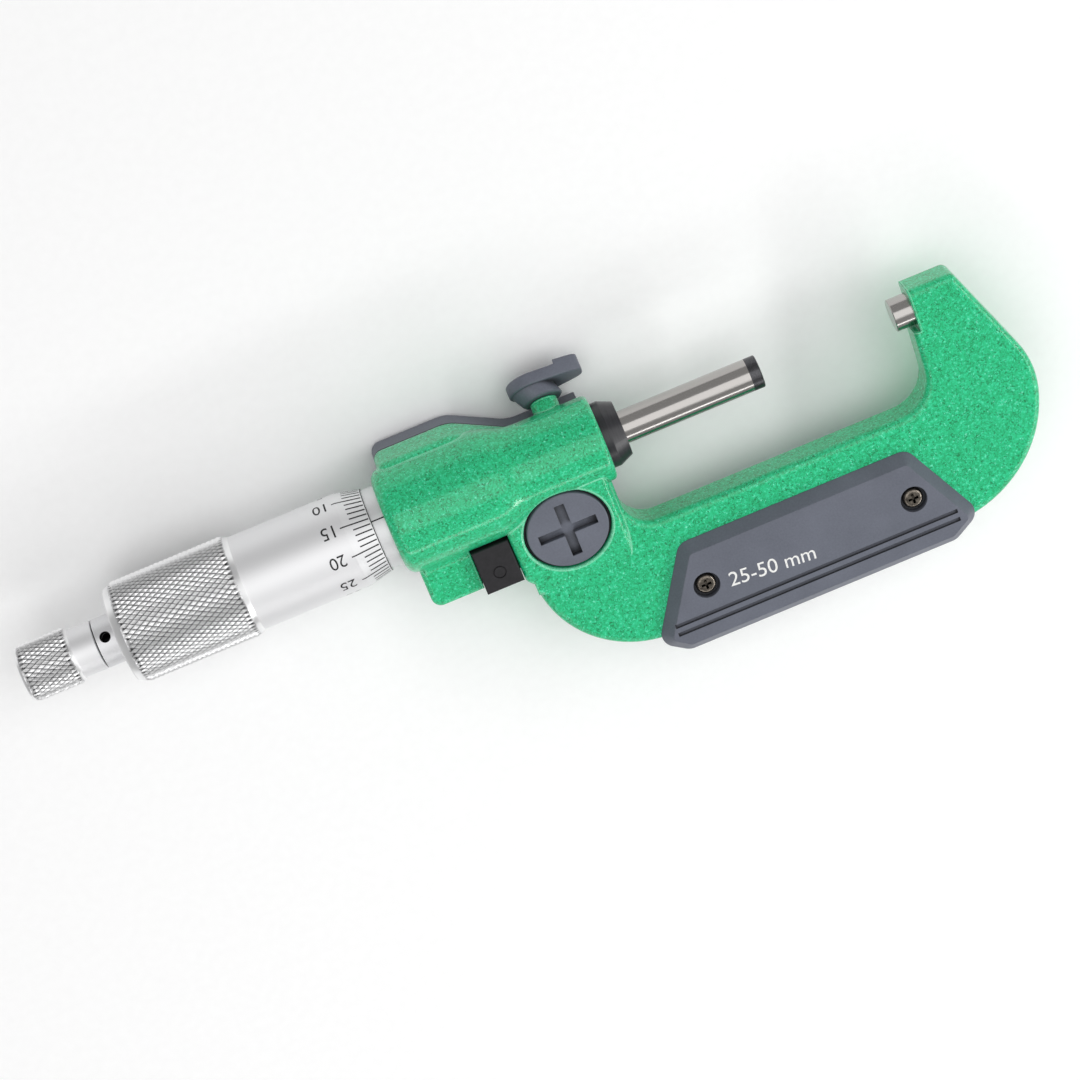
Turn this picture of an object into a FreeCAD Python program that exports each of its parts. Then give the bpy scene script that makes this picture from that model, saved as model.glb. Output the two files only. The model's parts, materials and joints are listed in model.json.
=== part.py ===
import FreeCAD, Part
import math
import os
import re

import Sketcher
from FreeCAD import Placement, Rotation, Vector

# Digital outside micrometer, 25 to 50 mm, seen from its back.
# X runs along the spindle towards the anvil, Y towards the lock lever, Z out of the back of the frame.
# The origin is the centre of the anvil's measuring face. The micrometer lies on its display side.
# Sizes are in millimetres and degrees. A place with no sign of its own is a distance from the origin.
SIZES = {
    # Measuring line
    "gap": 27.157,
    "least_gap": 25,
    "travel": 25,
    "spindle_radius": 3.25,
    "tip_length": 2.2,
    "face_chamfer": 0.15,
    "anvil_radius": 3.25,
    "anvil_reach": 3.9,
    "anvil_seat": 8.5,
    "running_gap": 0.03,
    "seat_gap": 0.02,
    "body_gap": 0.3,
    # Arms of the bow
    "arm_thickness": 8,
    "arm_edge": 1.3,
    "arm_root": 5,
    "throat_left": 61.2,
    "throat_floor": 19,
    "throat_right": 1.9,
    "throat_lean": 1,
    "throat_left_round": 6,
    "throat_right_round": 7.5,
    "arm_tip_top": 4.8,
    "arm_tip_right": 13.1,
    "tip_round": 1.5,
    "tip_step": 3.6,
    "bow_reach": 22.2,
    "bow_height": 17.2,
    "bow_corner_round": 18,
    "bow_radius": 24.6,
    "bow_foot": 1.5,
    "frame_bottom": 44.1,
    "heel_bottom": 42.9,
    "heel_foot": 60.6,
    "heel_inset": 1.3,
    "heel_height": 21.4,
    "heel_radius": 21.5,
    # Barrel around the spindle
    "barrel_end": 103.6,
    "barrel_radius": 10.6,
    "barrel_edge": 2.2,
    "taper_start": 84,
    "taper_end": 74.5,
    "nose_radius": 8.6,
    "nose_reach": 1.5,
    "nose_edge": 1,
    "flat_depth": 1,
    # Housing behind the display
    "seam": 8,
    "flap_back": 3,
    "brow_back": 1,
    "housing_left": 101.7,
    "housing_top": 11.5,
    "ramp_start": 86,
    "ramp_end": 75,
    "housing_brow": 5.6,
    "housing_bottom": 18.9,
    "housing_corner": 2,
    "ramp_round": 7,
    "flap_edge": 0.9,
    "brow_edge": 2.5,
    "barrel_blend": 2.5,
    # Battery compartment, on a face that leans away from the barrel
    "cover_x": 72.4,
    "cover_y": 12.9,
    "cover_z": 5.7,
    "cover_tilt": 9,
    "land_right": 61.9,
    "land_bottom": 24,
    "land_foot": 20,
    "land_edge": 1.2,
    "well_radius": 8.65,
    "well_depth": 2.6,
    "well_lip": 0.35,
    "cover_radius": 8.05,
    "cover_thickness": 2,
    "cover_edge": 0.3,
    "slot_length": 11.8,
    "slot_width": 2,
    "slot_depth": 1.1,
    "skirt_radius": 7.3,
    "skirt_wall": 1.1,
    "skirt_depth": 5,
    "seal_radius": 0.28,
    "seal_depth": 1.1,
    "battery_radius": 5.8,
    "battery_height": 5.4,
    "battery_edge": 0.4,
    "contact_thickness": 0.25,
    # Data port
    "port_left": 91.3,
    "port_right": 83.7,
    "port_top": 10.2,
    "port_bottom": 19.4,
    "port_back": 5.1,
    "port_edge": 0.4,
    "port_gap": 0.15,
    "port_wall_gap": 0.7,
    "port_mark_radius": 1.3,
    "port_mark_width": 0.25,
    "port_mark_depth": 0.25,
    "port_mark_y": 15.8,
    "connector_margin": 1,
    "connector_depth": 4,
    "contact_count": 5,
    "contact_pitch": 1.1,
    "contact_width": 0.5,
    # Lock lever, leaning to the display side
    "lock_x": 67.4,
    "lock_lean": 38,
    "relief_lean": 12,
    "relief_height": 8.3,
    "relief_start": 74,
    "boss_radius": 2.7,
    "boss_height": 10.8,
    "lock_radius": 1.5,
    "lock_gap": 0.05,
    "plug_start": 3.4,
    "plug_length": 1.7,
    "hub_start": 11,
    "hub_radius": 4.1,
    "hub_height": 2.6,
    "head_thickness": 2.6,
    "head_radius": 4.6,
    "head_shift": 0.7,
    "wing_reach": 9.2,
    "wing_start": 4.4,
    "wing_width": 5,
    "wing_rise": 0.6,
    "wing_drop": 0.6,
    "lever_edge": 0.5,
    "lock_head_radius": 2.2,
    "lock_head_depth": 1.2,
    # Nose bush
    "bush_radius": 6.57,
    "bush_rim": 1.5,
    "bush_length": 4.2,
    "bush_nose_radius": 5.4,
    "bush_spigot_radius": 5,
    "bush_spigot_length": 4,
    # Sleeve, nut and encoder
    "sleeve_radius": 8,
    "sleeve_wall": 1.6,
    "sleeve_end": 142,
    "encoder_seat": 92,
    "stator_thickness": 1,
    "stator_bore": 4,
    "rotor_cavity_radius": 7,
    "rotor_cavity_length": 7.5,
    "rotor_radius": 6.5,
    "rotor_thickness": 1,
    "rotor_bush_radius": 4.4,
    "key_x": 88,
    "key_radius": 0.5,
    "key_depth": 0.6,
    "keyway_width": 1.2,
    "keyway_depth": 0.85,
    "thread_radius": 4,
    "nut_length": 20,
    "nut_overhang": 5,
    "thread_run_out": 0.9,
    "adjuster_radius": 7.5,
    "adjuster_bevel": 0.5,
    # Spindle behind the barrel, and thimble
    "stop_gap": 0.34,
    "thimble_radius": 9.45,
    "thimble_bore_gap": 0.1,
    "bevel_length": 5.2,
    "bevel_radius": 8.3,
    "smooth_length": 21.5,
    "knurl_radius": 10.25,
    "knurl_length": 23.1,
    "knurl_front_chamfer": 1,
    "knurl_back_chamfer": 1.9,
    "thimble_end_radius": 8.45,
    "web_thickness": 8.3,
    "seat_cone_front": 4.6,
    "seat_cone_back": 3.6,
    # Ratchet stop
    "stem_radius": 2.4,
    "stem_length": 3.4,
    "collar_radius": 4.9,
    "collar_length": 4.2,
    "collar_edge": 0.2,
    "pin_hole_radius": 1.05,
    "pin_hole_place": 2.3,
    "pin_hole_turn": 32,
    "pivot_radius": 1.6,
    "pivot_length": 13,
    "knob_gap": 0.25,
    "neck_length": 4,
    "knob_radius": 5.75,
    "knob_length": 9.4,
    "knob_front_chamfer": 1,
    "knob_back_chamfer": 1,
    "knob_end_radius": 4.7,
    "knob_cavity_radius": 3.9,
    "knob_cavity_length": 8.6,
    "knob_end_bore": 3.2,
    "knob_end_depth": 2.6,
    "pawl_radius": 3.7,
    "pawl_thickness": 1.4,
    "tooth_count": 24,
    "tooth_depth": 0.35,
    "tooth_width": 0.5,
    "tooth_gap": 0.05,
    "spring_wire": 0.3,
    "spring_radius": 2.5,
    "spring_turns": 4,
    "screw_head_radius": 2.9,
    "screw_head_length": 1.3,
    # Display cover
    "gasket_thickness": 0.3,
    "bezel_depth": 4.6,
    "bezel_wall": 1.5,
    "bezel_floor": 1.8,
    "bezel_edge": 1.7,
    "window_left": 97,
    "window_right": 69.5,
    "window_top": 2.8,
    "window_bottom": 7,
    "lens_recess": 0.2,
    "panel_margin": 1,
    "panel_thickness": 1.5,
    "board_thickness": 0.8,
    "board_margin": 0.5,
    "button_left": 94.5,
    "button_spacing": 11,
    "button_y": 12.6,
    "button_radius": 3.2,
    "button_gap": 0.15,
    "button_recess": 0.1,
    "button_flange": 0.6,
    "button_flange_height": 0.6,
    "button_travel": 0.4,
    "button_edge": 0.3,
    "pad_margin": 0.8,
    "post_radius": 2,
    "post_inset": 2.5,
    "cover_screw_radius": 0.75,
    "cover_screw_head": 1.35,
    "cover_screw_sink": 0.9,
    "cover_screw_bite": 3.2,
    # Grip plates
    "grip_top": 25.1,
    "grip_top_left": 53.8,
    "grip_top_right": 6.4,
    "grip_waist": 43.3,
    "grip_waist_left": 64.4,
    "grip_waist_right": 3.2,
    "grip_bottom": 47,
    "grip_bottom_left": 59.1,
    "grip_bottom_right": 3,
    "grip_round": 3,
    "grip_side": 0.5,
    "grip_rise": 2,
    "grip_bevel": 2.45,
    "groove_first": 40.2,
    "groove_second": 42,
    "groove_width": 0.8,
    "groove_depth": 0.45,
    "groove_left": 60.3,
    "groove_right": 1.3,
    "grip_screw_left": 51.7,
    "grip_screw_right": 8.5,
    "grip_screw_y": 34.4,
    "grip_screw_radius": 1,
    "grip_screw_bite": 2.6,
    "counterbore_radius": 2.65,
    "counterbore_depth": 1.7,
    "screw_dome_radius": 2.05,
    "screw_dome_height": 1.35,
    "screw_dome_round": 0.8,
    "cross_length": 2,
    "cross_width": 0.5,
    "cross_depth": 0.6,
}

doc = FreeCAD.newDocument("micrometer")
sizes = doc.addObject("Spreadsheet::Sheet", "sizes")
for row, (alias, number) in enumerate(SIZES.items(), 1):
    sizes.set(f"A{row}", alias.replace("_", " "))
    sizes.set(f"B{row}", str(number))
    sizes.setAlias(f"B{row}", alias)
doc.recompute()

pieces = []


def value(expression):
    return float(sizes.evalExpression(expression))


def bind(item, path, expression):
    def cell(word):
        return "sizes." + word[0] if word[0] in SIZES else word[0]

    item.setExpression(path, re.sub(r"[a-z][a-z_]+", cell, expression))


def piece(name, place=None, turn=None):
    """Starts one separate piece. place moves it and turn leans it about X."""
    body = doc.addObject("PartDesign::Body", name)
    body.Label = name
    body.AllowCompound = True
    if turn:
        body.Placement = Placement(Vector(), Rotation(Vector(1, 0, 0), 1))
        bind(body, ".Placement.Rotation.Angle", turn)
    for axis, expression in zip("xyz", place or ()):
        bind(body, f".Placement.Base.{axis}", expression)
    pieces.append(body)
    return body


def drawing_on(body, plane, place=None, turn=None, about=Vector(1, 0, 0)):
    """An empty sketch on one of the body's planes, shifted by place and turned about one of its axes."""
    drawing = body.newObject("Sketcher::SketchObject", "drawing")
    support = [item for item in body.Origin.OriginFeatures if item.Role == plane][0]
    drawing.AttachmentSupport = [(support, "")]
    drawing.MapMode = "FlatFace"
    if turn:
        drawing.AttachmentOffset = Placement(Vector(), Rotation(about, 1))
        bind(drawing, ".AttachmentOffset.Rotation.Angle", turn)
    for axis, expression in zip("xyz", place or ()):
        bind(drawing, f".AttachmentOffset.Base.{axis}", expression)
    return drawing


def fix(drawing, geometry, point, x, y):
    """Ties a point of the sketch to its two coordinates."""
    for kind, expression in (("DistanceX", x), ("DistanceY", y)):
        rule = Sketcher.Constraint(kind, -1, 1, geometry, point, value(expression))
        bind(drawing, f"Constraints[{drawing.addConstraint(rule)}]", expression)


def outline(body, plane, corners, place=None, turn=None, about=Vector(1, 0, 0)):
    """A closed outline. A corner is (x, y), or (x, y, radius, side) when an arc leads to it.

    The side is 1 for an arc that turns left on its way, and -1 for one that turns right.
    """
    drawing = drawing_on(body, plane, place, turn, about)
    spots = [Vector(value(corner[0]), value(corner[1]), 0) for corner in corners]
    ends = []
    for index, corner in enumerate(corners):
        start, stop = spots[index - 1], spots[index]
        if len(corner) == 2:
            drawing.addGeometry(Part.LineSegment(start, stop), False)
            ends.append((1, 2))
            continue
        radius, side = value(corner[2]), corner[3]
        chord = stop - start
        rise = math.sqrt(max(radius**2 - chord.Length**2 / 4, 0))
        centre = (start + stop) / 2 + Vector(-chord.y, chord.x, 0).normalize() * rise * side
        angles = [math.atan2(spot.y - centre.y, spot.x - centre.x) for spot in (start, stop)]
        circle = Part.Circle(centre, Vector(0, 0, 1), radius)
        drawing.addGeometry(Part.ArcOfCircle(circle, *angles[::side]), False)
        ends.append((1, 2)[::side])
    for index, (begin, end) in enumerate(ends):
        following = (index + 1) % len(ends)
        drawing.addConstraint(Sketcher.Constraint("Coincident", index, end, following, ends[following][0]))
        fix(drawing, index, end, *corners[index][:2])
        if len(corners[index]) == 4:
            rule = Sketcher.Constraint("Radius", index, value(corners[index][2]))
            bind(drawing, f"Constraints[{drawing.addConstraint(rule)}]", corners[index][2])
    return drawing


def rectangle(body, plane, left, bottom, right, top, **place):
    return outline(body, plane, [(left, bottom), (right, bottom), (right, top), (left, top)], **place)


def circles(body, plane, centres, radius, **place):
    drawing = drawing_on(body, plane, **place)
    for index, (x, y) in enumerate(centres):
        spot = Vector(value(x), value(y), 0)
        drawing.addGeometry(Part.Circle(spot, Vector(0, 0, 1), value(radius)), False)
        fix(drawing, index, 3, x, y)
        rule = Sketcher.Constraint("Radius", index, value(radius))
        bind(drawing, f"Constraints[{drawing.addConstraint(rule)}]", radius)
    return drawing


def pad(body, drawing, length, side="One side", back=False, kind="PartDesign::Pad"):
    """Pulls an outline out to a solid. With back it goes against the sketch's own direction."""
    solid = body.newObject(kind, "solid")
    solid.Profile = drawing
    solid.SideType = side
    solid.Reversed = back
    bind(solid, "Length", length)
    return solid


def cut(body, drawing, length, side="One side", back=False):
    """Cuts an outline into the solid, against the sketch's direction unless back is set."""
    doc.recompute()
    before = body.Shape.Volume
    pocket = pad(body, drawing, length, side, back, "PartDesign::Pocket")
    doc.recompute()
    if body.Shape.Volume > before - 1e-4:
        raise RuntimeError(f"a cut in {body.Label} takes nothing away")
    return pocket


def spin(body, corners, kind="PartDesign::Revolution"):
    """Turns an outline of (x, radius) about X."""
    turned = body.newObject(kind, "turned")
    turned.Profile = outline(body, "XZ_Plane", corners)
    turned.ReferenceAxis = (turned.Profile[0], ["H_Axis"])
    turned.Angle = 360
    return turned


def bore(body, corners):
    """Cuts a round hole, with its steps, along X."""
    doc.recompute()
    before = body.Shape.Volume
    hole = spin(body, corners, "PartDesign::Groove")
    doc.recompute()
    if body.Shape.Volume > before - 1e-4:
        raise RuntimeError(f"a bore in {body.Label} takes nothing away")
    return hole


def round_edges(body, radius, chosen, kind="PartDesign::Fillet", setting="Radius"):
    """Rounds, or chamfers, the edges that the test picks."""
    doc.recompute()
    base = body.Tip
    names = [f"Edge{number}" for number, edge in enumerate(base.Shape.Edges, 1) if chosen(edge)]
    if not names:
        raise RuntimeError(f"no edge of {body.Label} to round by {radius}")
    rounding = body.newObject(kind, "edges")
    rounding.Base = (base, names)
    bind(rounding, setting, radius)
    doc.recompute()
    return rounding


def repeat(body, feature, axis, count):
    """Repeats a feature in a full circle about one of the body's axes."""
    pattern = body.newObject("PartDesign::PolarPattern", "pattern")
    pattern.Originals = [feature]
    pattern.Axis = ([item for item in body.Origin.OriginFeatures if item.Role == axis][0], [""])
    pattern.Angle = 360
    bind(pattern, "Occurrences", count)
    body.Tip = pattern
    return pattern


def near(number, expression):
    return abs(number - value(expression)) < 1e-3


def upright(x, y):
    """Picks the edge that stands over one corner of an outline."""

    def chosen(edge):
        return all(near(vertex.X, x) and near(vertex.Y, y) for vertex in edge.Vertexes)

    return chosen


def level(*heights):
    """Picks the edges that lie flat at one of the heights."""

    def chosen(edge):
        box = edge.BoundBox
        return box.ZLength < 1e-3 and any(near(box.ZMax, height) for height in heights)

    return chosen


# Places that several pieces share
LEVER_TURN = "-(90 + lock_lean)"
LEVER_PLACE = ("-lock_x", "0", "0")
COVER_PLACE = ("-cover_x", "-cover_y", "cover_z")
LAND_LEFT = "(port_right - port_gap)"
HEEL_REACH = f"({LAND_LEFT} - heel_inset)"
BARREL_NOSE = "(throat_left - nose_reach)"
BARREL_FLAT = "(barrel_radius - flat_depth)"
BEZEL_FRONT = f"({BARREL_FLAT} + bezel_depth)"
SLEEVE_HOLE = "sleeve_radius + seat_gap"
SPINDLE_HOLE = "spindle_radius + running_gap"
CAVITY_END = "rotor_cavity_length - encoder_seat"
EDGE = "(least_gap - gap - barrel_end - stop_gap)"
WEB_FRONT = f"({EDGE} - bevel_length - smooth_length - knurl_front_chamfer - knurl_length - knurl_back_chamfer"
WEB_FRONT += " + web_thickness)"
THIMBLE_END = f"({WEB_FRONT} - web_thickness)"
COLLAR_END = f"({THIMBLE_END} - collar_length)"
TAPER_RUN = "(taper_start - taper_end)"
TAPER_DROP = "(barrel_radius - nose_radius)"
TAPER_MIDDLE = ("-(taper_start + taper_end) / 2", "(barrel_radius + nose_radius) / 2")
TAPER_ARC = f"({TAPER_RUN}^2 + {TAPER_DROP}^2) / (4 * {TAPER_DROP})"
BARREL = [
    ("-barrel_end", "0"),
    ("-barrel_end", "barrel_radius - barrel_edge"),
    ("barrel_edge - barrel_end", "barrel_radius", "barrel_edge", -1),
    ("-taper_start", "barrel_radius"),
    (*TAPER_MIDDLE, TAPER_ARC, -1),
    ("-taper_end", "nose_radius", TAPER_ARC, 1),
    (f"-{BARREL_NOSE} - nose_edge", "nose_radius"),
    (f"-{BARREL_NOSE}", "nose_radius - nose_edge", "nose_edge", -1),
    (f"-{BARREL_NOSE}", "0"),
]
GRIP_SCREWS = [("-grip_screw_left", "-grip_screw_y"), ("-grip_screw_right", "-grip_screw_y")]
COVER_SCREWS = [
    ("post_inset - housing_left", "housing_top - post_inset"),
    ("post_inset - housing_left", "post_inset - housing_bottom"),
    ("-throat_left - post_inset", "post_inset - housing_bottom"),
    ("-throat_left - post_inset", "housing_brow - post_inset"),
]
HOUSING = [
    ("-housing_left", "-housing_bottom"),
    ("-throat_left", "-housing_bottom"),
    ("-throat_left", "housing_brow"),
    ("-ramp_end", "housing_brow"),
    ("-ramp_start", "housing_top"),
    ("-housing_left", "housing_top"),
]


def round_housing(body):
    """Rounds the corners that the casting and its display cover share."""
    outer = [upright(*HOUSING[0]), upright(*HOUSING[5])]
    round_edges(body, "housing_corner", lambda edge: any(test(edge) for test in outer))
    ramp = [upright(*HOUSING[3]), upright(*HOUSING[4])]
    round_edges(body, "ramp_round", lambda edge: any(test(edge) for test in ramp))


# Frame: one iron casting with the bow, the barrel, the housing behind the display and the lever's boss
frame = piece("frame")
arms = outline(
    frame,
    "XY_Plane",
    [
        (f"-{HEEL_REACH}", "-arm_root"),
        (f"-{HEEL_REACH}", "-heel_height"),
        ("-heel_foot", "-heel_bottom", "heel_radius", 1),
        ("-bow_foot", "-frame_bottom"),
        ("bow_reach", "-bow_height", "bow_radius", 1),
        ("arm_tip_right", "arm_tip_top"),
        ("throat_right + throat_lean", "arm_tip_top"),
        ("throat_right", "-throat_floor"),
        ("-throat_left", "-throat_floor"),
        ("-throat_left", "-arm_root"),
    ],
)
pad(frame, arms, "arm_thickness", side="Symmetric")
round_edges(frame, "throat_left_round", upright("-throat_left", "-throat_floor"))
round_edges(frame, "throat_right_round", upright("throat_right", "-throat_floor"))
round_edges(frame, "bow_corner_round", upright("bow_reach", "-bow_height"))
round_edges(frame, "tip_round", upright("arm_tip_right", "arm_tip_top"))
round_edges(frame, "arm_edge", level("arm_thickness / 2", "-arm_thickness / 2"))

# The face around the anvil is milled back from the inner wall of the arm
recess = rectangle(frame, "XY_Plane", "0", "-tip_step", "anvil_reach", "arm_tip_top + 1")
cut(frame, recess, "arm_thickness * 2", side="Symmetric")

# Housing behind the display: a high part beside the barrel and a flap below it
BROW = [("-housing_left", "0"), ("-throat_left", "0"), *HOUSING[2:]]
brow = outline(frame, "XY_Plane", BROW, ("0", "0", "-seam"))
pad(frame, brow, "seam + brow_back")
flap = rectangle(
    frame, "XY_Plane", "-housing_left", "-housing_bottom", "-throat_left", "0", place=("0", "0", "-seam")
)
pad(frame, flap, "seam + flap_back")
round_housing(frame)
brow_edges = level("brow_back")
round_edges(frame, "brow_edge", lambda edge: brow_edges(edge) and edge.BoundBox.YMin > value("arm_root"))
flap_edges = level("flap_back")
round_edges(
    frame,
    "flap_edge",
    lambda edge: flap_edges(edge) and edge.BoundBox.YMax < 1e-3 and edge.BoundBox.XMax < -value(LAND_LEFT),
)

# Land: the raised face that leans back to carry the battery cover
land_slope = "tan(cover_tilt)"
land = outline(
    frame,
    "YZ_Plane",
    [
        ("-land_bottom", "0"),
        ("-arm_root / 2", "0"),
        ("-arm_root / 2", f"cover_z + (cover_y - arm_root / 2) * {land_slope}"),
        ("-land_bottom", f"cover_z + (cover_y - land_bottom) * {land_slope}"),
    ],
    ("0", "0", f"-{LAND_LEFT}"),
)
pad(frame, land, f"{LAND_LEFT} - land_right")
land_corner = outline(
    frame,
    "XY_Plane",
    [
        (f"-{LAND_LEFT} - 1", "-land_foot"),
        (f"-{LAND_LEFT}", "-land_foot"),
        (f"-{HEEL_REACH}", "-heel_inset - land_foot"),
        (f"-{HEEL_REACH}", "-land_bottom - 1"),
        (f"-{LAND_LEFT} - 1", "-land_bottom - 1"),
    ],
)
cut(frame, land_corner, "barrel_radius", back=True)


def land_sides(edge):
    """Picks the two long edges of the leaning face."""
    box = edge.BoundBox
    sides = near(box.XMax, f"-{LAND_LEFT}") or near(box.XMin, "-land_right")
    return sides and box.XLength < 1e-3 and box.YLength > value("well_radius") and box.ZMax > value("cover_z")


round_edges(frame, "land_edge", land_sides)

# Barrel, with the hollow blend that leads from it to the flap
spin(frame, BARREL)
blend_y = "-sqrt((barrel_radius + barrel_blend)^2 - (flap_back + barrel_blend)^2)"
shrink = "barrel_radius / (barrel_radius + barrel_blend)"
blend = outline(
    frame,
    "YZ_Plane",
    [
        (blend_y, "flap_back - barrel_blend / 2"),
        (blend_y, "flap_back"),
        (f"{blend_y} * {shrink}", f"(flap_back + barrel_blend) * {shrink}", "barrel_blend", 1),
        (f"{blend_y} * {shrink}", "flap_back - barrel_blend / 2"),
    ],
    ("0", "0", "flap_edge - housing_left"),
)
pad(frame, blend, f"housing_left - flap_edge - {LAND_LEFT}")

# The lever sits on a round boss, in front of a flat that lets its underside turn
relief = rectangle(
    frame,
    "YZ_Plane",
    "relief_height",
    "-nose_radius",
    "barrel_radius",
    "nose_radius",
    place=("0", "0", "-relief_start"),
    turn="-relief_lean",
    about=Vector(0, 0, 1),
)
cut(frame, relief, f"relief_start - {BARREL_NOSE} + nose_edge", back=True)
boss = circles(frame, "XY_Plane", [("0", "0")], "boss_radius", place=LEVER_PLACE, turn=LEVER_TURN)
pad(frame, boss, "boss_height")

# The barrel is milled flat where the circuit board lies on it
front_flat = rectangle(
    frame,
    "XY_Plane",
    "bezel_wall - housing_left",
    "-barrel_radius",
    f"-{BARREL_NOSE}",
    "barrel_radius",
    place=("0", "0", f"-{BARREL_FLAT}"),
)
cut(frame, front_flat, "barrel_radius")

# Bore along the barrel: sleeve seat, encoder cavity, spindle guide and bush seat
bore(
    frame,
    [
        ("-barrel_end - 1", "0"),
        ("-barrel_end - 1", SLEEVE_HOLE),
        ("-encoder_seat", SLEEVE_HOLE),
        ("-encoder_seat", "rotor_cavity_radius"),
        (CAVITY_END, "rotor_cavity_radius"),
        (CAVITY_END, SPINDLE_HOLE),
        (f"-{BARREL_NOSE} - bush_spigot_length - seat_gap", SPINDLE_HOLE),
        (f"-{BARREL_NOSE} - bush_spigot_length - seat_gap", "bush_spigot_radius + seat_gap"),
        (f"1 - {BARREL_NOSE}", "bush_spigot_radius + seat_gap"),
        (f"1 - {BARREL_NOSE}", "0"),
    ],
)
lock_hole = circles(frame, "XY_Plane", [("0", "0")], "lock_radius", place=LEVER_PLACE, turn=LEVER_TURN)
cut(frame, lock_hole, "boss_height + 1", back=True)
bore(
    frame,
    [
        ("0", "0"),
        ("0", "anvil_radius + seat_gap"),
        ("anvil_reach + anvil_seat", "anvil_radius + seat_gap"),
        ("anvil_reach + anvil_seat + anvil_radius / 2", "0"),
    ],
)


def well(radius, depth, lift="well_depth"):
    """Cuts one step of the battery compartment, square to the leaning face."""
    place = ("-cover_x", f"-cover_y - {lift} * sin(cover_tilt)", f"cover_z + {lift} * cos(cover_tilt)")
    disc = circles(frame, "XY_Plane", [("0", "0")], radius, place=place, turn="cover_tilt")
    cut(frame, disc, f"{depth} + {lift}")


well("well_radius", "well_depth")
round_edges(
    frame,
    "well_lip",
    lambda edge: isinstance(edge.Curve, Part.Circle)
    and near(edge.Curve.Radius, "well_radius")
    and edge.BoundBox.ZMax > value("cover_z"),
)
well("skirt_radius + seat_gap", "skirt_depth + seat_gap")
BATTERY_DEPTH = "(cover_thickness + body_gap + battery_height + contact_thickness)"
well("battery_radius + seat_gap", BATTERY_DEPTH)

# Data port: a seat for its cover, open at the back and below, and a socket under it
port_seat = rectangle(
    frame,
    "XY_Plane",
    "-port_left - port_gap",
    "-port_bottom - 1",
    "port_gap - port_right",
    "port_wall_gap - port_top",
)
cut(frame, port_seat, "port_back + barrel_radius", back=True)
socket = rectangle(
    frame,
    "XY_Plane",
    "connector_margin - port_left",
    "connector_margin * 2 - port_bottom",
    "-port_right - connector_margin",
    "-port_top - connector_margin",
)
cut(frame, socket, "connector_depth")

# Screw holes: through the bow for the grip plates, and in the housing for the display cover
grip_holes = circles(frame, "XY_Plane", GRIP_SCREWS, "grip_screw_radius + seat_gap")
cut(frame, grip_holes, "arm_thickness * 2", side="Symmetric")
cover_holes = circles(
    frame, "XY_Plane", COVER_SCREWS, "cover_screw_radius + seat_gap", place=("0", "0", "-barrel_radius")
)
cut(frame, cover_holes, "barrel_radius - seam + cover_screw_bite + body_gap", back=True)

# Anvil: a hardened pin pressed into the end of the bow
anvil = piece("anvil")
spin(
    anvil,
    [
        ("0", "0"),
        ("0", "anvil_radius - face_chamfer"),
        ("face_chamfer", "anvil_radius"),
        ("anvil_reach + anvil_seat", "anvil_radius"),
        ("anvil_reach + anvil_seat", "0"),
    ],
)

# Nose bush: a black ring around the spindle where it leaves the barrel
bush = piece("spindle_bush")
spin(
    bush,
    [
        (f"-{BARREL_NOSE} - bush_spigot_length", SPINDLE_HOLE),
        (f"-{BARREL_NOSE} - bush_spigot_length", "bush_spigot_radius"),
        (f"-{BARREL_NOSE}", "bush_spigot_radius"),
        (f"-{BARREL_NOSE}", "bush_radius"),
        (f"bush_rim - {BARREL_NOSE}", "bush_radius"),
        (f"bush_length - {BARREL_NOSE}", "bush_nose_radius"),
        (f"bush_length - {BARREL_NOSE}", SPINDLE_HOLE),
    ],
)

# Sleeve: the ground tube that the thimble runs over
sleeve = piece("sleeve")
SLEEVE_FOOT = "(-encoder_seat - stator_thickness - seat_gap)"
spin(
    sleeve,
    [
        ("-sleeve_end", "sleeve_radius - sleeve_wall"),
        ("-sleeve_end", "sleeve_radius"),
        (SLEEVE_FOOT, "sleeve_radius"),
        (SLEEVE_FOOT, "sleeve_radius - sleeve_wall"),
    ],
)

# Spindle nut inside the sleeve, and the ring that takes up its play
NUT_RADIUS = "(sleeve_radius - sleeve_wall - seat_gap)"
nut = piece("spindle_nut")
spin(
    nut,
    [
        ("-sleeve_end - nut_overhang", "thread_radius + running_gap"),
        ("-sleeve_end - nut_overhang", f"{NUT_RADIUS} - adjuster_bevel"),
        ("adjuster_bevel - sleeve_end - nut_overhang", NUT_RADIUS),
        ("nut_length - sleeve_end - nut_overhang", NUT_RADIUS),
        ("nut_length - sleeve_end - nut_overhang", "thread_radius + running_gap"),
    ],
)
adjuster = piece("adjusting_nut")
spin(
    adjuster,
    [
        ("adjuster_bevel - sleeve_end - nut_overhang", "sleeve_radius - sleeve_wall"),
        ("adjuster_bevel - sleeve_end - nut_overhang", "adjuster_radius - adjuster_bevel"),
        ("2 * adjuster_bevel - sleeve_end - nut_overhang", "adjuster_radius"),
        ("-sleeve_end - seat_gap", "adjuster_radius"),
        ("-sleeve_end - seat_gap", "sleeve_radius - sleeve_wall"),
    ],
)

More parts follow.
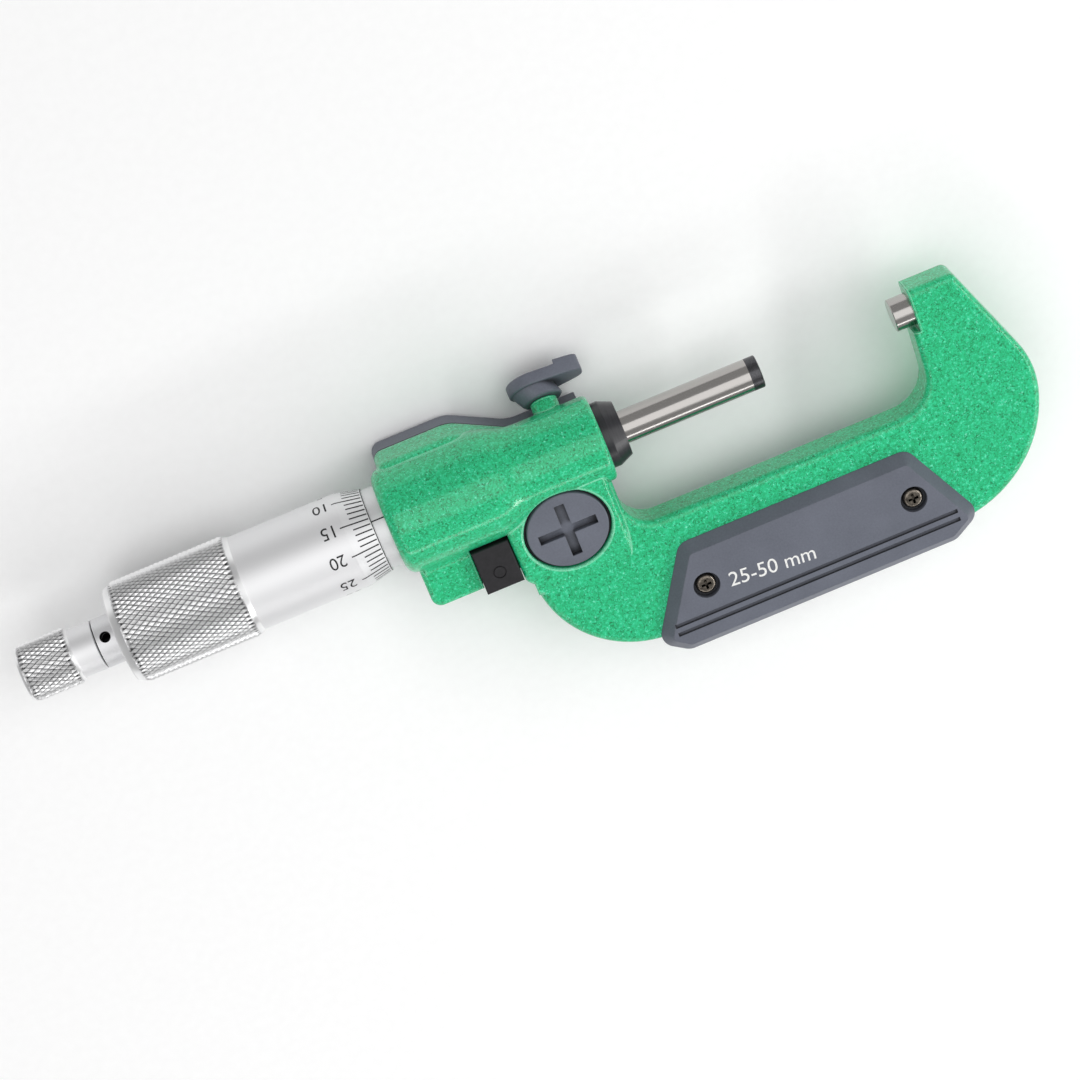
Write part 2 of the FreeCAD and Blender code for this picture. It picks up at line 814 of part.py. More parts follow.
# Encoder: a fixed disc against the barrel's shoulder and a turning one on a keyed bush
stator = piece("encoder_stator")
spin(
    stator,
    [
        ("-encoder_seat - stator_thickness", "stator_bore"),
        ("-encoder_seat - stator_thickness", "sleeve_radius"),
        ("-encoder_seat", "sleeve_radius"),
        ("-encoder_seat", "stator_bore"),
    ],
)
ROTOR_START = "(body_gap - encoder_seat)"
rotor = piece("encoder_rotor")
spin(
    rotor,
    [
        (ROTOR_START, "rotor_bush_radius + seat_gap"),
        (ROTOR_START, "rotor_radius"),
        (f"{ROTOR_START} + rotor_thickness", "rotor_radius"),
        (f"{ROTOR_START} + rotor_thickness", "rotor_bush_radius + seat_gap"),
    ],
)
rotor_bush = piece("rotor_bush")
spin(
    rotor_bush,
    [
        (ROTOR_START, SPINDLE_HOLE),
        (ROTOR_START, "rotor_bush_radius"),
        (f"{ROTOR_START} + rotor_thickness", "rotor_bush_radius"),
        (f"{ROTOR_START} + rotor_thickness", "rotor_cavity_radius - key_depth"),
        (f"{CAVITY_END} - body_gap", "rotor_cavity_radius - key_depth"),
        (f"{CAVITY_END} - body_gap", SPINDLE_HOLE),
    ],
)
key_hole = circles(rotor_bush, "XY_Plane", [("-key_x", "0")], "key_radius + seat_gap")
cut(rotor_bush, key_hole, "rotor_cavity_radius", back=True)
key = piece("rotor_key")
key_pin = circles(
    key, "XY_Plane", [("-key_x", "0")], "key_radius", place=("0", "0", "spindle_radius - key_depth")
)
pad(key, key_pin, "rotor_cavity_radius - key_depth - spindle_radius")

# Spindle: measuring rod with a carbide tip, a keyway, the thread, a seat cone and a stem for the ratchet
TIP_END = "(-gap - tip_length)"
THREAD_FRONT = "(nut_length - sleeve_end - nut_overhang + travel + least_gap - gap + thread_run_out)"
spindle = piece("spindle")
spin(
    spindle,
    [
        (TIP_END, "0"),
        (TIP_END, "spindle_radius"),
        (THREAD_FRONT, "spindle_radius"),
        (THREAD_FRONT, "thread_radius"),
        (WEB_FRONT, "thread_radius"),
        (WEB_FRONT, "seat_cone_front"),
        (THIMBLE_END, "seat_cone_back"),
        (THIMBLE_END, "stem_radius"),
        (f"{THIMBLE_END} - stem_length", "stem_radius"),
        (f"{THIMBLE_END} - stem_length", "0"),
    ],
)
keyway = rectangle(
    spindle,
    "XY_Plane",
    "least_gap - gap - key_x - key_radius - body_gap",
    "-keyway_width / 2",
    "travel + least_gap - gap - key_x + key_radius + body_gap",
    "keyway_width / 2",
    place=("0", "0", "spindle_radius - keyway_depth"),
)
cut(spindle, keyway, "spindle_radius", back=True)
tip = piece("spindle_tip")
spin(
    tip,
    [
        (TIP_END, "0"),
        (TIP_END, "spindle_radius"),
        ("-gap - face_chamfer", "spindle_radius"),
        ("-gap", "spindle_radius - face_chamfer"),
        ("-gap", "0"),
    ],
)

# Thimble: a turned cup, bored to run over the sleeve, with a bevel for the graduations
thimble = piece("thimble")
BEVEL_END = f"({EDGE} - bevel_length)"
KNURL_START = f"({BEVEL_END} - smooth_length - knurl_front_chamfer)"
KNURL_END = f"({KNURL_START} - knurl_length)"
THIMBLE_BORE = "(sleeve_radius + thimble_bore_gap)"
spin(
    thimble,
    [
        (EDGE, THIMBLE_BORE),
        (WEB_FRONT, THIMBLE_BORE),
        (WEB_FRONT, "seat_cone_front + seat_gap"),
        (THIMBLE_END, "seat_cone_back + seat_gap"),
        (THIMBLE_END, "thimble_end_radius"),
        (KNURL_END, "knurl_radius"),
        (KNURL_START, "knurl_radius"),
        (f"{KNURL_START} + knurl_front_chamfer", "thimble_radius"),
        (BEVEL_END, "thimble_radius"),
        (EDGE, "bevel_radius"),
    ],
)

# Ratchet collar: clamps the thimble to the spindle, carries the knob's pivot and has teeth on its face
collar = piece("ratchet_collar")
PIVOT_END = f"({COLLAR_END} - pivot_length)"
STEM_HOLE = f"({THIMBLE_END} - stem_length - seat_gap)"
spin(
    collar,
    [
        (THIMBLE_END, "stem_radius + seat_gap"),
        (THIMBLE_END, "collar_radius - collar_edge"),
        (f"{THIMBLE_END} - collar_edge", "collar_radius"),
        (COLLAR_END, "collar_radius"),
        (COLLAR_END, "pivot_radius"),
        (PIVOT_END, "pivot_radius"),
        (PIVOT_END, "0"),
        (STEM_HOLE, "0"),
        (STEM_HOLE, "stem_radius + seat_gap"),
    ],
)
pin_hole = circles(
    collar,
    "XY_Plane",
    [("0", "0")],
    "pin_hole_radius",
    place=(f"{THIMBLE_END} - pin_hole_place", "0", "0"),
    turn="-pin_hole_turn",
)
cut(collar, pin_hole, "collar_radius + 1", back=True)
teeth = outline(
    collar,
    "XY_Plane",
    [
        (COLLAR_END, "-tooth_width / 2"),
        (f"{COLLAR_END} + tooth_depth", "-tooth_width / 2"),
        (COLLAR_END, "tooth_width / 2"),
    ],
    place=("0", "0", "pivot_radius + seat_gap"),
)
tooth = cut(collar, teeth, "pawl_radius - pivot_radius", back=True)
repeat(collar, tooth, "X_Axis", "tooth_count")

# Pawl: the toothed ring inside the knob, pressed against the collar by a spring
PAWL_FRONT = f"({COLLAR_END} - tooth_gap)"
PAWL_BACK = f"({PAWL_FRONT} - pawl_thickness)"
pawl = piece("ratchet_pawl")
spin(
    pawl,
    [
        (PAWL_BACK, "pivot_radius + running_gap"),
        (PAWL_BACK, "pawl_radius"),
        (PAWL_FRONT, "pawl_radius"),
        (PAWL_FRONT, "pivot_radius + running_gap"),
    ],
)
ridge = outline(
    pawl,
    "XY_Plane",
    [
        (PAWL_FRONT, "tooth_gap - tooth_width / 2"),
        (f"{PAWL_FRONT} + tooth_depth - tooth_gap", "tooth_gap - tooth_width / 2"),
        (PAWL_FRONT, "tooth_width / 2 - tooth_gap"),
    ],
    place=("0", "0", "pivot_radius + 2 * running_gap"),
)
ridge = pad(pawl, ridge, "pawl_radius - pivot_radius - 4 * running_gap")
repeat(pawl, ridge, "X_Axis", "tooth_count")

# Ratchet knob: knurled cap that turns on the pivot, with a smooth neck towards the collar
NECK_FRONT = f"({COLLAR_END} - knob_gap)"
KNOB_FRONT = f"({NECK_FRONT} - neck_length - knob_front_chamfer)"
KNOB_BACK = f"({KNOB_FRONT} - knob_length)"
KNOB_END = f"({KNOB_BACK} - knob_back_chamfer)"
CAVITY_BACK = f"({NECK_FRONT} - knob_cavity_length)"
knob = piece("ratchet_knob")
spin(
    knob,
    [
        (NECK_FRONT, "knob_cavity_radius"),
        (CAVITY_BACK, "knob_cavity_radius"),
        (CAVITY_BACK, "pivot_radius + running_gap"),
        (f"{KNOB_END} + knob_end_depth", "pivot_radius + running_gap"),
        (f"{KNOB_END} + knob_end_depth", "knob_end_bore"),
        (KNOB_END, "knob_end_bore"),
        (KNOB_END, "knob_end_radius"),
        (KNOB_BACK, "knob_radius"),
        (KNOB_FRONT, "knob_radius"),
        (f"{KNOB_FRONT} + knob_front_chamfer", "collar_radius"),
        (NECK_FRONT, "collar_radius"),
    ],
)
spring = piece("ratchet_spring")
SPRING_PITCH = f"(({PAWL_BACK} - {CAVITY_BACK} - 2 * spring_wire - 2 * seat_gap) / spring_turns)"
coil = circles(
    spring,
    "XZ_Plane",
    [(f"{CAVITY_BACK} + spring_wire + seat_gap", "spring_radius")],
    "spring_wire",
)
helix = spring.newObject("PartDesign::AdditiveHelix", "coil")
helix.Profile = coil
helix.ReferenceAxis = (coil, ["H_Axis"])
helix.Mode = "pitch-turns-angle"
bind(helix, "Pitch", SPRING_PITCH)
bind(helix, "Turns", "spring_turns")
ratchet_screw = piece("ratchet_screw")
SCREW_SEAT = f"({KNOB_END} + knob_end_depth - body_gap)"
spin(
    ratchet_screw,
    [
        (f"{PIVOT_END}", "0"),
        (f"{PIVOT_END}", "pivot_radius"),
        (SCREW_SEAT, "pivot_radius"),
        (SCREW_SEAT, "screw_head_radius"),
        (f"{SCREW_SEAT} - screw_head_length", "screw_head_radius"),
        (f"{SCREW_SEAT} - screw_head_length", "0"),
    ],
)
screw_slot = rectangle(
    ratchet_screw,
    "YZ_Plane",
    "-screw_head_radius - 1",
    "-cross_width / 2",
    "screw_head_radius + 1",
    "cross_width / 2",
    place=("0", "0", f"{SCREW_SEAT} - screw_head_length"),
)
cut(ratchet_screw, screw_slot, "cross_depth", back=True)

# Lock lever: a hub on the boss with a rounded head and a raised thumb wing
lever = piece("lock_lever", LEVER_PLACE, LEVER_TURN)
hub = circles(lever, "XY_Plane", [("0", "0")], "hub_radius", place=("0", "0", "hub_start"))
pad(lever, hub, "hub_height + head_thickness / 2")
HEAD_LOW = "(hub_start + hub_height)"
head = circles(lever, "XY_Plane", [("-head_shift", "0")], "head_radius", place=("0", "0", HEAD_LOW))
pad(lever, head, "head_thickness")
LEVER_TOP = f"({HEAD_LOW} + head_thickness)"
round_edges(lever, "lever_edge", level(LEVER_TOP))
wing = outline(
    lever,
    "XZ_Plane",
    [
        ("0", HEAD_LOW),
        ("wing_start", HEAD_LOW),
        ("wing_start", f"{HEAD_LOW} - wing_drop"),
        ("wing_reach", f"{HEAD_LOW} - wing_drop"),
        ("wing_reach", f"{HEAD_LOW} + head_thickness + wing_rise"),
        ("wing_start", f"{HEAD_LOW} + head_thickness + wing_rise / 2"),
        ("wing_start - wing_rise", f"{HEAD_LOW} + head_thickness"),
        ("0", f"{HEAD_LOW} + head_thickness"),
    ],
)
pad(lever, wing, "wing_width", side="Symmetric")
round_edges(
    lever,
    "wing_width / 3",
    lambda edge: near(edge.BoundBox.XMin, "wing_reach") and edge.BoundBox.ZLength > value("head_thickness"),
)
screw_seat = circles(
    lever, "XY_Plane", [("0", "0")], "lock_head_radius + seat_gap", place=("0", "0", LEVER_TOP)
)
cut(lever, screw_seat, "lock_head_depth")
screw_hole = circles(lever, "XY_Plane", [("0", "0")], "lock_radius", place=("0", "0", LEVER_TOP))
cut(lever, screw_hole, "hub_height + head_thickness + 1")

# Lock screw and the brass plug that it presses on the spindle
lock_screw = piece("lock_screw", LEVER_PLACE, LEVER_TURN)
SHANK_START = "(plug_start + plug_length + lock_gap)"
shank = circles(
    lock_screw, "XY_Plane", [("0", "0")], "lock_radius - lock_gap", place=("0", "0", SHANK_START)
)
pad(lock_screw, shank, f"{LEVER_TOP} - {SHANK_START}")
lock_head = circles(
    lock_screw, "XY_Plane", [("0", "0")], "lock_head_radius", place=("0", "0", f"{LEVER_TOP} - lock_head_depth")
)
pad(lock_screw, lock_head, "lock_head_depth")
for turn in ("0", "90"):
    cross = rectangle(
        lock_screw,
        "XY_Plane",
        "-cross_length / 2",
        "-cross_width / 2",
        "cross_length / 2",
        "cross_width / 2",
        place=("0", "0", LEVER_TOP),
        turn=turn,
        about=Vector(0, 0, 1),
    )
    cut(lock_screw, cross, "cross_depth")
plug = piece("lock_plug", LEVER_PLACE, LEVER_TURN)
plug_disc = circles(plug, "XY_Plane", [("0", "0")], "lock_radius - seat_gap", place=("0", "0", "plug_start"))
pad(plug, plug_disc, "plug_length")

# Battery cover: a coin-slot cap with a threaded skirt, sealed by a rubber ring
cover = piece("battery_cover", COVER_PLACE, "cover_tilt")
cap = circles(cover, "XY_Plane", [("0", "0")], "cover_radius")
pad(cover, cap, "cover_thickness", back=True)
round_edges(cover, "cover_edge", level("0"))
for turn in ("0", "90"):
    slot = rectangle(
        cover,
        "XY_Plane",
        "-slot_length / 2",
        "-slot_width / 2",
        "slot_length / 2",
        "slot_width / 2",
        turn=turn,
        about=Vector(0, 0, 1),
    )
    cut(cover, slot, "slot_depth")
skirt = circles(
    cover, "XY_Plane", [("0", "0")], "skirt_radius - running_gap", place=("0", "0", "-cover_thickness")
)
pad(cover, skirt, "skirt_depth - cover_thickness - body_gap", back=True)
hollow = circles(
    cover, "XY_Plane", [("0", "0")], "skirt_radius - skirt_wall", place=("0", "0", "-cover_thickness")
)
cut(cover, hollow, "skirt_depth")
seal = piece("cover_seal", COVER_PLACE, "cover_tilt")
seal_ring = circles(
    seal, "XZ_Plane", [("cover_radius + seal_radius + seat_gap / 2", "-seal_depth")], "seal_radius"
)
ring = seal.newObject("PartDesign::Revolution", "ring")
ring.Profile = seal_ring
ring.ReferenceAxis = (seal_ring, ["V_Axis"])
ring.Angle = 360
BATTERY_TOP = "(-cover_thickness - body_gap)"
battery = piece("battery", COVER_PLACE, "cover_tilt")
cell = circles(battery, "XY_Plane", [("0", "0")], "battery_radius", place=("0", "0", BATTERY_TOP))
pad(battery, cell, "battery_height", back=True)
round_edges(battery, "battery_edge", level(BATTERY_TOP, f"{BATTERY_TOP} - battery_height"))
contact = piece("battery_contact", COVER_PLACE, "cover_tilt")
leaf = rectangle(
    contact,
    "XY_Plane",
    "-battery_radius * 0.8",
    "-slot_width",
    "battery_radius * 0.8",
    "slot_width / 2",
    place=("0", "0", f"-{BATTERY_DEPTH}"),
)
pad(contact, leaf, "contact_thickness")

# Data port cover: a rubber plug that fills the seat and stands a little proud
port = piece("data_port_cover")
plug_box = rectangle(port, "XY_Plane", "-port_left", "-port_bottom", "-port_right", "-port_top")
pad(port, plug_box, "port_back")
round_edges(port, "port_edge", level("port_back"))
mark_spot = [("-(port_left + port_right) / 2", "-port_mark_y")]
mark = circles(port, "XY_Plane", mark_spot, "port_mark_radius", place=("0", "0", "port_back"))
cut(port, mark, "port_mark_depth")
mark_floor = ("0", "0", "port_back - port_mark_depth")
mark_core = circles(port, "XY_Plane", mark_spot, "port_mark_radius - port_mark_width", place=mark_floor)
pad(port, mark_core, "port_mark_depth")
connector = piece("data_connector")
block = rectangle(
    connector,
    "XY_Plane",
    "connector_margin + seat_gap - port_left",
    "connector_margin * 2 + seat_gap - port_bottom",
    "-port_right - connector_margin - seat_gap",
    "-port_top - connector_margin - seat_gap",
    place=("0", "0", "-connector_depth"),
)
pad(connector, block, "connector_depth")
strip = rectangle(
    connector,
    "XY_Plane",
    "-(port_left + port_right) / 2 - contact_pitch * 2 - contact_width / 2",
    "-port_mark_y",
    "-(port_left + port_right) / 2 - contact_pitch * 2 + contact_width / 2",
    "-port_mark_y + contact_count / 2",
)
strip = cut(connector, strip, "connector_depth / 2")
row = connector.newObject("PartDesign::LinearPattern", "row")
row.Originals = [strip]
row.Direction = ([item for item in connector.Origin.OriginFeatures if item.Role == "X_Axis"][0], [""])
bind(row, "Length", "contact_pitch * (contact_count - 1)")
bind(row, "Occurrences", "contact_count")
connector.Tip = row

# Gasket and display cover, on the seam of the housing
gasket = piece("bezel_gasket")
GASKET_FRONT = "(seam + gasket_thickness)"
sheet_outline = outline(gasket, "XY_Plane", HOUSING, ("0", "0", f"-{GASKET_FRONT}"))
pad(gasket, sheet_outline, "gasket_thickness")
round_housing(gasket)
RAMP_SHIFT = "bezel_wall * tan(atan((housing_top - housing_brow) / (ramp_start - ramp_end)) / 2)"
INNER = [
    ("bezel_wall - housing_left", "bezel_wall - housing_bottom"),
    ("-throat_left - bezel_wall", "bezel_wall - housing_bottom"),
    ("-throat_left - bezel_wall", "housing_brow - bezel_wall"),
    (f"-ramp_end - {RAMP_SHIFT}", "housing_brow - bezel_wall"),
    (f"-ramp_start - {RAMP_SHIFT}", "housing_top - bezel_wall"),
    ("bezel_wall - housing_left", "housing_top - bezel_wall"),
]
BARREL_HOLE = [(x, f"{radius} + seat_gap", *arc) for x, radius, *arc in BARREL[1:-1]]
BARREL_HOLE = [("-barrel_end - seat_gap", "0"), ("-barrel_end - seat_gap", BARREL_HOLE[0][1]), *BARREL_HOLE]
BARREL_HOLE += [(f"seat_gap - {BARREL_NOSE}", BARREL_HOLE[-1][1]), (f"seat_gap - {BARREL_NOSE}", "0")]
inner_outline = outline(gasket, "XY_Plane", INNER, ("0", "0", f"-{GASKET_FRONT}"))
cut(gasket, inner_outline, "gasket_thickness", back=True)
bore(gasket, BARREL_HOLE)

bezel = piece("display_bezel")
FLOOR = f"({BEZEL_FRONT} - bezel_floor)"
shell = outline(bezel, "XY_Plane", HOUSING, ("0", "0", f"-{BEZEL_FRONT}"))
pad(bezel, shell, f"{BEZEL_FRONT} - {GASKET_FRONT}")
round_housing(bezel)
round_edges(bezel, "bezel_edge", level(f"-{BEZEL_FRONT}"))
inside = outline(bezel, "XY_Plane", INNER, ("0", "0", f"-{FLOOR}"))
cut(bezel, inside, BEZEL_FRONT, back=True)
posts = circles(
    bezel, "XY_Plane", COVER_SCREWS, "post_radius", place=("0", "0", f"-{BEZEL_FRONT} + bezel_floor / 2")
)
pad(bezel, posts, f"{BEZEL_FRONT} - bezel_floor / 2 - {GASKET_FRONT}")
bore(bezel, BARREL_HOLE)
window = rectangle(
    bezel,
    "XY_Plane",
    "-window_left",
    "-window_bottom",
    "-window_right",
    "window_top",
    place=("0", "0", f"-{BEZEL_FRONT}"),
)
cut(bezel, window, "bezel_floor * 2", back=True)
BUTTONS = [f"button_spacing * {index} - button_left" for index in range(3)]
button_holes = circles(
    bezel,
    "XY_Plane",
    [(x, "-button_y") for x in BUTTONS],
    "button_radius + button_gap",
    place=("0", "0", f"-{BEZEL_FRONT}"),
)
cut(bezel, button_holes, "bezel_floor * 2", back=True)
screw_holes = circles(
    bezel, "XY_Plane", COVER_SCREWS, "cover_screw_radius + seat_gap", place=("0", "0", f"-{BEZEL_FRONT}")
)
cut(bezel, screw_holes, BEZEL_FRONT, back=True)
screw_sinks = circles(
    bezel, "XY_Plane", COVER_SCREWS, "cover_screw_head + seat_gap", place=("0", "0", f"-{BEZEL_FRONT}")
)
cut(bezel, screw_sinks, "cover_screw_sink", back=True)

cover_screws = piece("bezel_screws")
HEAD_BACK = f"({BEZEL_FRONT} - cover_screw_sink)"
heads = circles(cover_screws, "XY_Plane", COVER_SCREWS, "cover_screw_head", place=("0", "0", f"-{HEAD_BACK}"))
pad(cover_screws, heads, "cover_screw_sink - button_recess", back=True)
shanks = circles(
    cover_screws, "XY_Plane", COVER_SCREWS, "cover_screw_radius", place=("0", "0", f"-{HEAD_BACK}")
)
pad(cover_screws, shanks, f"{HEAD_BACK} - seam + cover_screw_bite")

# Window lens, display panel and circuit board, stacked against the flat of the barrel
lens = piece("display_lens")
pane = rectangle(
    lens,
    "XY_Plane",
    "seat_gap - window_left",
    "seat_gap - window_bottom",
    "-window_right - seat_gap",
    "window_top - seat_gap",
    place=("0", "0", f"lens_recess - {BEZEL_FRONT}"),
)
pad(lens, pane, "bezel_floor - lens_recess")
board = piece("circuit_board")
BOARD_BACK = f"({BARREL_FLAT} + seat_gap)"
board_sheet = rectangle(
    board,
    "XY_Plane",
    "bezel_wall + board_margin - housing_left",
    "bezel_wall + board_margin - housing_bottom",
    "-throat_left - bezel_wall - board_margin",
    "housing_brow - bezel_wall - board_margin",
    place=("0", "0", f"-{BOARD_BACK}"),
)
pad(board, board_sheet, "board_thickness", back=True)
board_notches = circles(
    board, "XY_Plane", COVER_SCREWS[1:], "post_radius + body_gap", place=("0", "0", f"-{BOARD_BACK}")
)
cut(board, board_notches, "board_thickness * 2", side="Symmetric")
PANEL_BACK = f"({BOARD_BACK} + board_thickness + seat_gap)"
panel = piece("display_panel")
panel_sheet = rectangle(
    panel,
    "XY_Plane",
    "-window_left - panel_margin",
    "-window_bottom - panel_margin",
    "panel_margin - window_right",
    "window_top + panel_margin / 2",
    place=("0", "0", f"-{PANEL_BACK}"),
)
pad(panel, panel_sheet, "panel_thickness", back=True)

# Buttons: flanged caps behind the display cover, over a rubber contact sheet
sheet = piece("contact_sheet")
rubber = rectangle(
    sheet,
    "XY_Plane",
    "-button_left - button_radius - pad_margin",
    "-button_y - button_radius",
    "2 * button_spacing - button_left + button_radius + pad_margin",
    "button_radius - button_y",
    place=("0", "0", f"-{PANEL_BACK}"),
)
SHEET_HEIGHT = f"({FLOOR} - seat_gap - button_flange_height - button_travel - tooth_gap - {PANEL_BACK})"
pad(sheet, rubber, SHEET_HEIGHT, back=True)
sheet_notch = circles(
    sheet, "XY_Plane", COVER_SCREWS[1:2], "post_radius + body_gap", place=("0", "0", f"-{PANEL_BACK}")
)
cut(sheet, sheet_notch, BEZEL_FRONT, side="Symmetric")
BUTTON_SEAT = ("0", "0", f"seat_gap - {FLOOR}")
for name, x in zip(("power_button", "zero_button", "unit_button"), BUTTONS):
    button = piece(name)
    flange = circles(button, "XY_Plane", [(x, "-button_y")], "button_radius + button_flange", place=BUTTON_SEAT)
    pad(button, flange, "button_flange_height")
    button_cap = circles(button, "XY_Plane", [(x, "-button_y")], "button_radius", place=BUTTON_SEAT)
    pad(button, button_cap, "bezel_floor + seat_gap - button_recess", back=True)
    round_edges(button, "button_edge", level(f"button_recess - {BEZEL_FRONT}"))


def grip_plate(name, screws_name, back):
    """A bevelled plate on one face of the bow, and the two screws that hold it."""
    sign = "" if back else "-"
    face = f"{sign}arm_thickness / 2"
    plate = piece(name)
    corners = [
        ("-grip_top_left", "-grip_top"),
        ("-grip_waist_left", "-grip_waist"),
        ("-grip_bottom_left", "-grip_bottom"),
        ("-grip_bottom_right", "-grip_bottom"),
        ("grip_waist_right", "-grip_waist"),
        ("-grip_top_right", "-grip_top"),
    ]
    outer = f"{face} {sign or '+'} (grip_side + grip_rise)"
    sides = outline(plate, "XY_Plane", corners, ("0", "0", face))
    pad(plate, sides, "grip_side + grip_rise", back=not back)
    posts = [upright(x, y) for x, y in corners]
    round_edges(plate, "grip_round", lambda edge: any(test(edge) for test in posts))
    bevel = round_edges(plate, "grip_bevel", level(outer), "PartDesign::Chamfer", "Size")
    bevel.ChamferType = "Two distances"
    bind(bevel, "Size2", "grip_rise")
    for groove in ("groove_first", "groove_second"):
        channel = rectangle(
            plate,
            "XY_Plane",
            "-groove_left",
            f"-{groove} - groove_width / 2",
            "-groove_right",
            f"groove_width / 2 - {groove}",
            place=("0", "0", outer),
        )
        cut(plate, channel, "groove_depth", back=not back)
    sink = circles(plate, "XY_Plane", GRIP_SCREWS, "counterbore_radius", place=("0", "0", outer))
    cut(plate, sink, "counterbore_depth", back=not back)
    hole = circles(plate, "XY_Plane", GRIP_SCREWS, "grip_screw_radius + seat_gap", place=("0", "0", outer))
    cut(plate, hole, "grip_side + grip_rise", back=not back)

    screws = piece(screws_name)
    head_base = f"{face} {sign or '+'} (grip_side + grip_rise - counterbore_depth)"
    domes = circles(screws, "XY_Plane", GRIP_SCREWS, "screw_dome_radius", place=("0", "0", head_base))
    pad(screws, domes, "screw_dome_height", back=not back)
    dome_top = f"{head_base} {sign or '+'} screw_dome_height"
    round_edges(screws, "screw_dome_round", level(dome_top))
    threads = circles(screws, "XY_Plane", GRIP_SCREWS, "grip_screw_radius", place=("0", "0", head_base))
    pad(screws, threads, "grip_side + grip_rise - counterbore_depth + grip_screw_bite", back=back)
    for x, y in GRIP_SCREWS:
        for turn in ("0", "90"):
            cross = rectangle(
                screws,
                "XY_Plane",
                "-cross_length / 2",
                "-cross_width / 2",
                "cross_length / 2",
                "cross_width / 2",
                place=(x, y, dome_top),
                turn=turn,
                about=Vector(0, 0, 1),
            )
            cut(screws, cross, "cross_depth", back=not back)


grip_plate("back_grip", "back_grip_screws", True)
grip_plate("front_grip", "front_grip_screws", False)

doc.recompute()
for item in doc.Objects:
    if "Invalid" in item.State or "Error" in item.State:
        raise RuntimeError(f"{item.Label} did not build: {item.State}")
for body in pieces:
    if body.Shape.isNull() or not body.Shape.isValid() or not body.Shape.Solids:
        raise RuntimeError(f"{body.Label} is not a sound solid")
os.makedirs("parts", exist_ok=True)
for body in pieces:
    body.Shape.exportStep(os.path.join("parts", body.Label + ".step"))
    print(body.Label, len(body.Shape.Solids), round(body.Shape.Volume, 1))
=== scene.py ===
# Digital outside micrometer, 25 to 50 mm, lying with its back up. The pieces from the CAD are given their
# finishes here, and three of them give way to pieces of the same size with knurls or finer roundings.
# X runs along the spindle towards the anvil, Y towards the lock lever and Z out of the back, in metres.
import json
import math

import bmesh
import bpy
from mathutils import Matrix, Vector


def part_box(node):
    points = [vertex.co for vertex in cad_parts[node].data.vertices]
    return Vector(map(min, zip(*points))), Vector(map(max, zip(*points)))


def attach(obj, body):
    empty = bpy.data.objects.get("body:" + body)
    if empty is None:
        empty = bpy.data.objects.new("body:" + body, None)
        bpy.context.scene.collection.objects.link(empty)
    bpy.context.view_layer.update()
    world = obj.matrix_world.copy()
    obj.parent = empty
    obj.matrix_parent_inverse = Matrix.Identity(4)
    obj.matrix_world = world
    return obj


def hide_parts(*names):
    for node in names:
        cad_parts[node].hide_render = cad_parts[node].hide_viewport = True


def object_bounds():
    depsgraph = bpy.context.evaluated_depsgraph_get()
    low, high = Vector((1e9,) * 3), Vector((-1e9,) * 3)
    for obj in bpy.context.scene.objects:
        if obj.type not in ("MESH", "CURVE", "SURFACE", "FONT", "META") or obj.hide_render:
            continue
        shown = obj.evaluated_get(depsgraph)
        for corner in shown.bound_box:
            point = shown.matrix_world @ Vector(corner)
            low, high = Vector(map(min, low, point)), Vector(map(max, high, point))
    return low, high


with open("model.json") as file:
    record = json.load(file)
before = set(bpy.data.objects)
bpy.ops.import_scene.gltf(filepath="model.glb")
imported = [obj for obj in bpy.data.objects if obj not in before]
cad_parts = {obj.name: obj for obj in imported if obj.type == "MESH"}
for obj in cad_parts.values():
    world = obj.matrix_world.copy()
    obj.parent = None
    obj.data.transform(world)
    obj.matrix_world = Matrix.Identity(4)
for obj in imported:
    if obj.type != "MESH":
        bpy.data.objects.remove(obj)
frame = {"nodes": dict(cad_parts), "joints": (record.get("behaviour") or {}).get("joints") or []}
cad_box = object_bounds()
MM = 0.001


# Frame: one iron casting that holds the anvil, the barrel and the display housing. It is shot-blasted,
# then sprayed with a thick hammertone enamel. The enamel flows out over the rough casting as it dries,
# so it rounds every corner and carries both its own colour and a clear, glossy skin of resin.
def linear(code):
    """An sRGB hex colour as linear red, green, blue and alpha."""
    shares = [int(code[start : start + 2], 16) / 255 for start in (1, 3, 5)]
    light = [share / 12.92 if share <= 0.04045 else ((share + 0.055) / 1.055) ** 2.4 for share in shares]
    return (*light, 1)


def feed(tree, node, sockets):
    """Links or sets a node's sockets. Another node is linked by its first output."""
    for key, worth in sockets.items():
        if isinstance(worth, bpy.types.Node):
            worth = worth.outputs[0]
        if isinstance(worth, bpy.types.NodeSocket):
            tree.links.new(worth, node.inputs[key])
        else:
            node.inputs[key].default_value = worth


def add_node(tree, kind, sockets=None, stops=(), **settings):
    """Adds a shader node with its settings and links, and a colour ramp's stops as (place, hex colour)."""
    node = tree.nodes.new("ShaderNode" + kind)
    for name, setting in settings.items():
        setattr(node, name, setting)
    for _ in stops[2:]:
        node.color_ramp.elements.new(0.5)
    for index, (position, code) in enumerate(stops):
        node.color_ramp.elements[index].position = position
        node.color_ramp.elements[index].color = linear(code)
    feed(tree, node, sockets or {})
    return node


def start_finish(name, sockets):
    """A material with one Principled shader, and the place on the object that its patterns read."""
    material = bpy.data.materials.new(name)
    material.use_nodes = True
    tree = material.node_tree
    shader = tree.nodes["Principled BSDF"]
    feed(tree, shader, sockets)
    return material, tree, shader, add_node(tree, "TexCoord").outputs["Object"]


def dress(material, *names):
    """Gives CAD pieces their material."""
    for name in names:
        for slot in frame["nodes"][name].material_slots:
            slot.material = material


# A Mix node that blends colours has its share, both colours and its result at these places.
SHARE, UNDER, OVER, BLEND = 0, 6, 7, 2

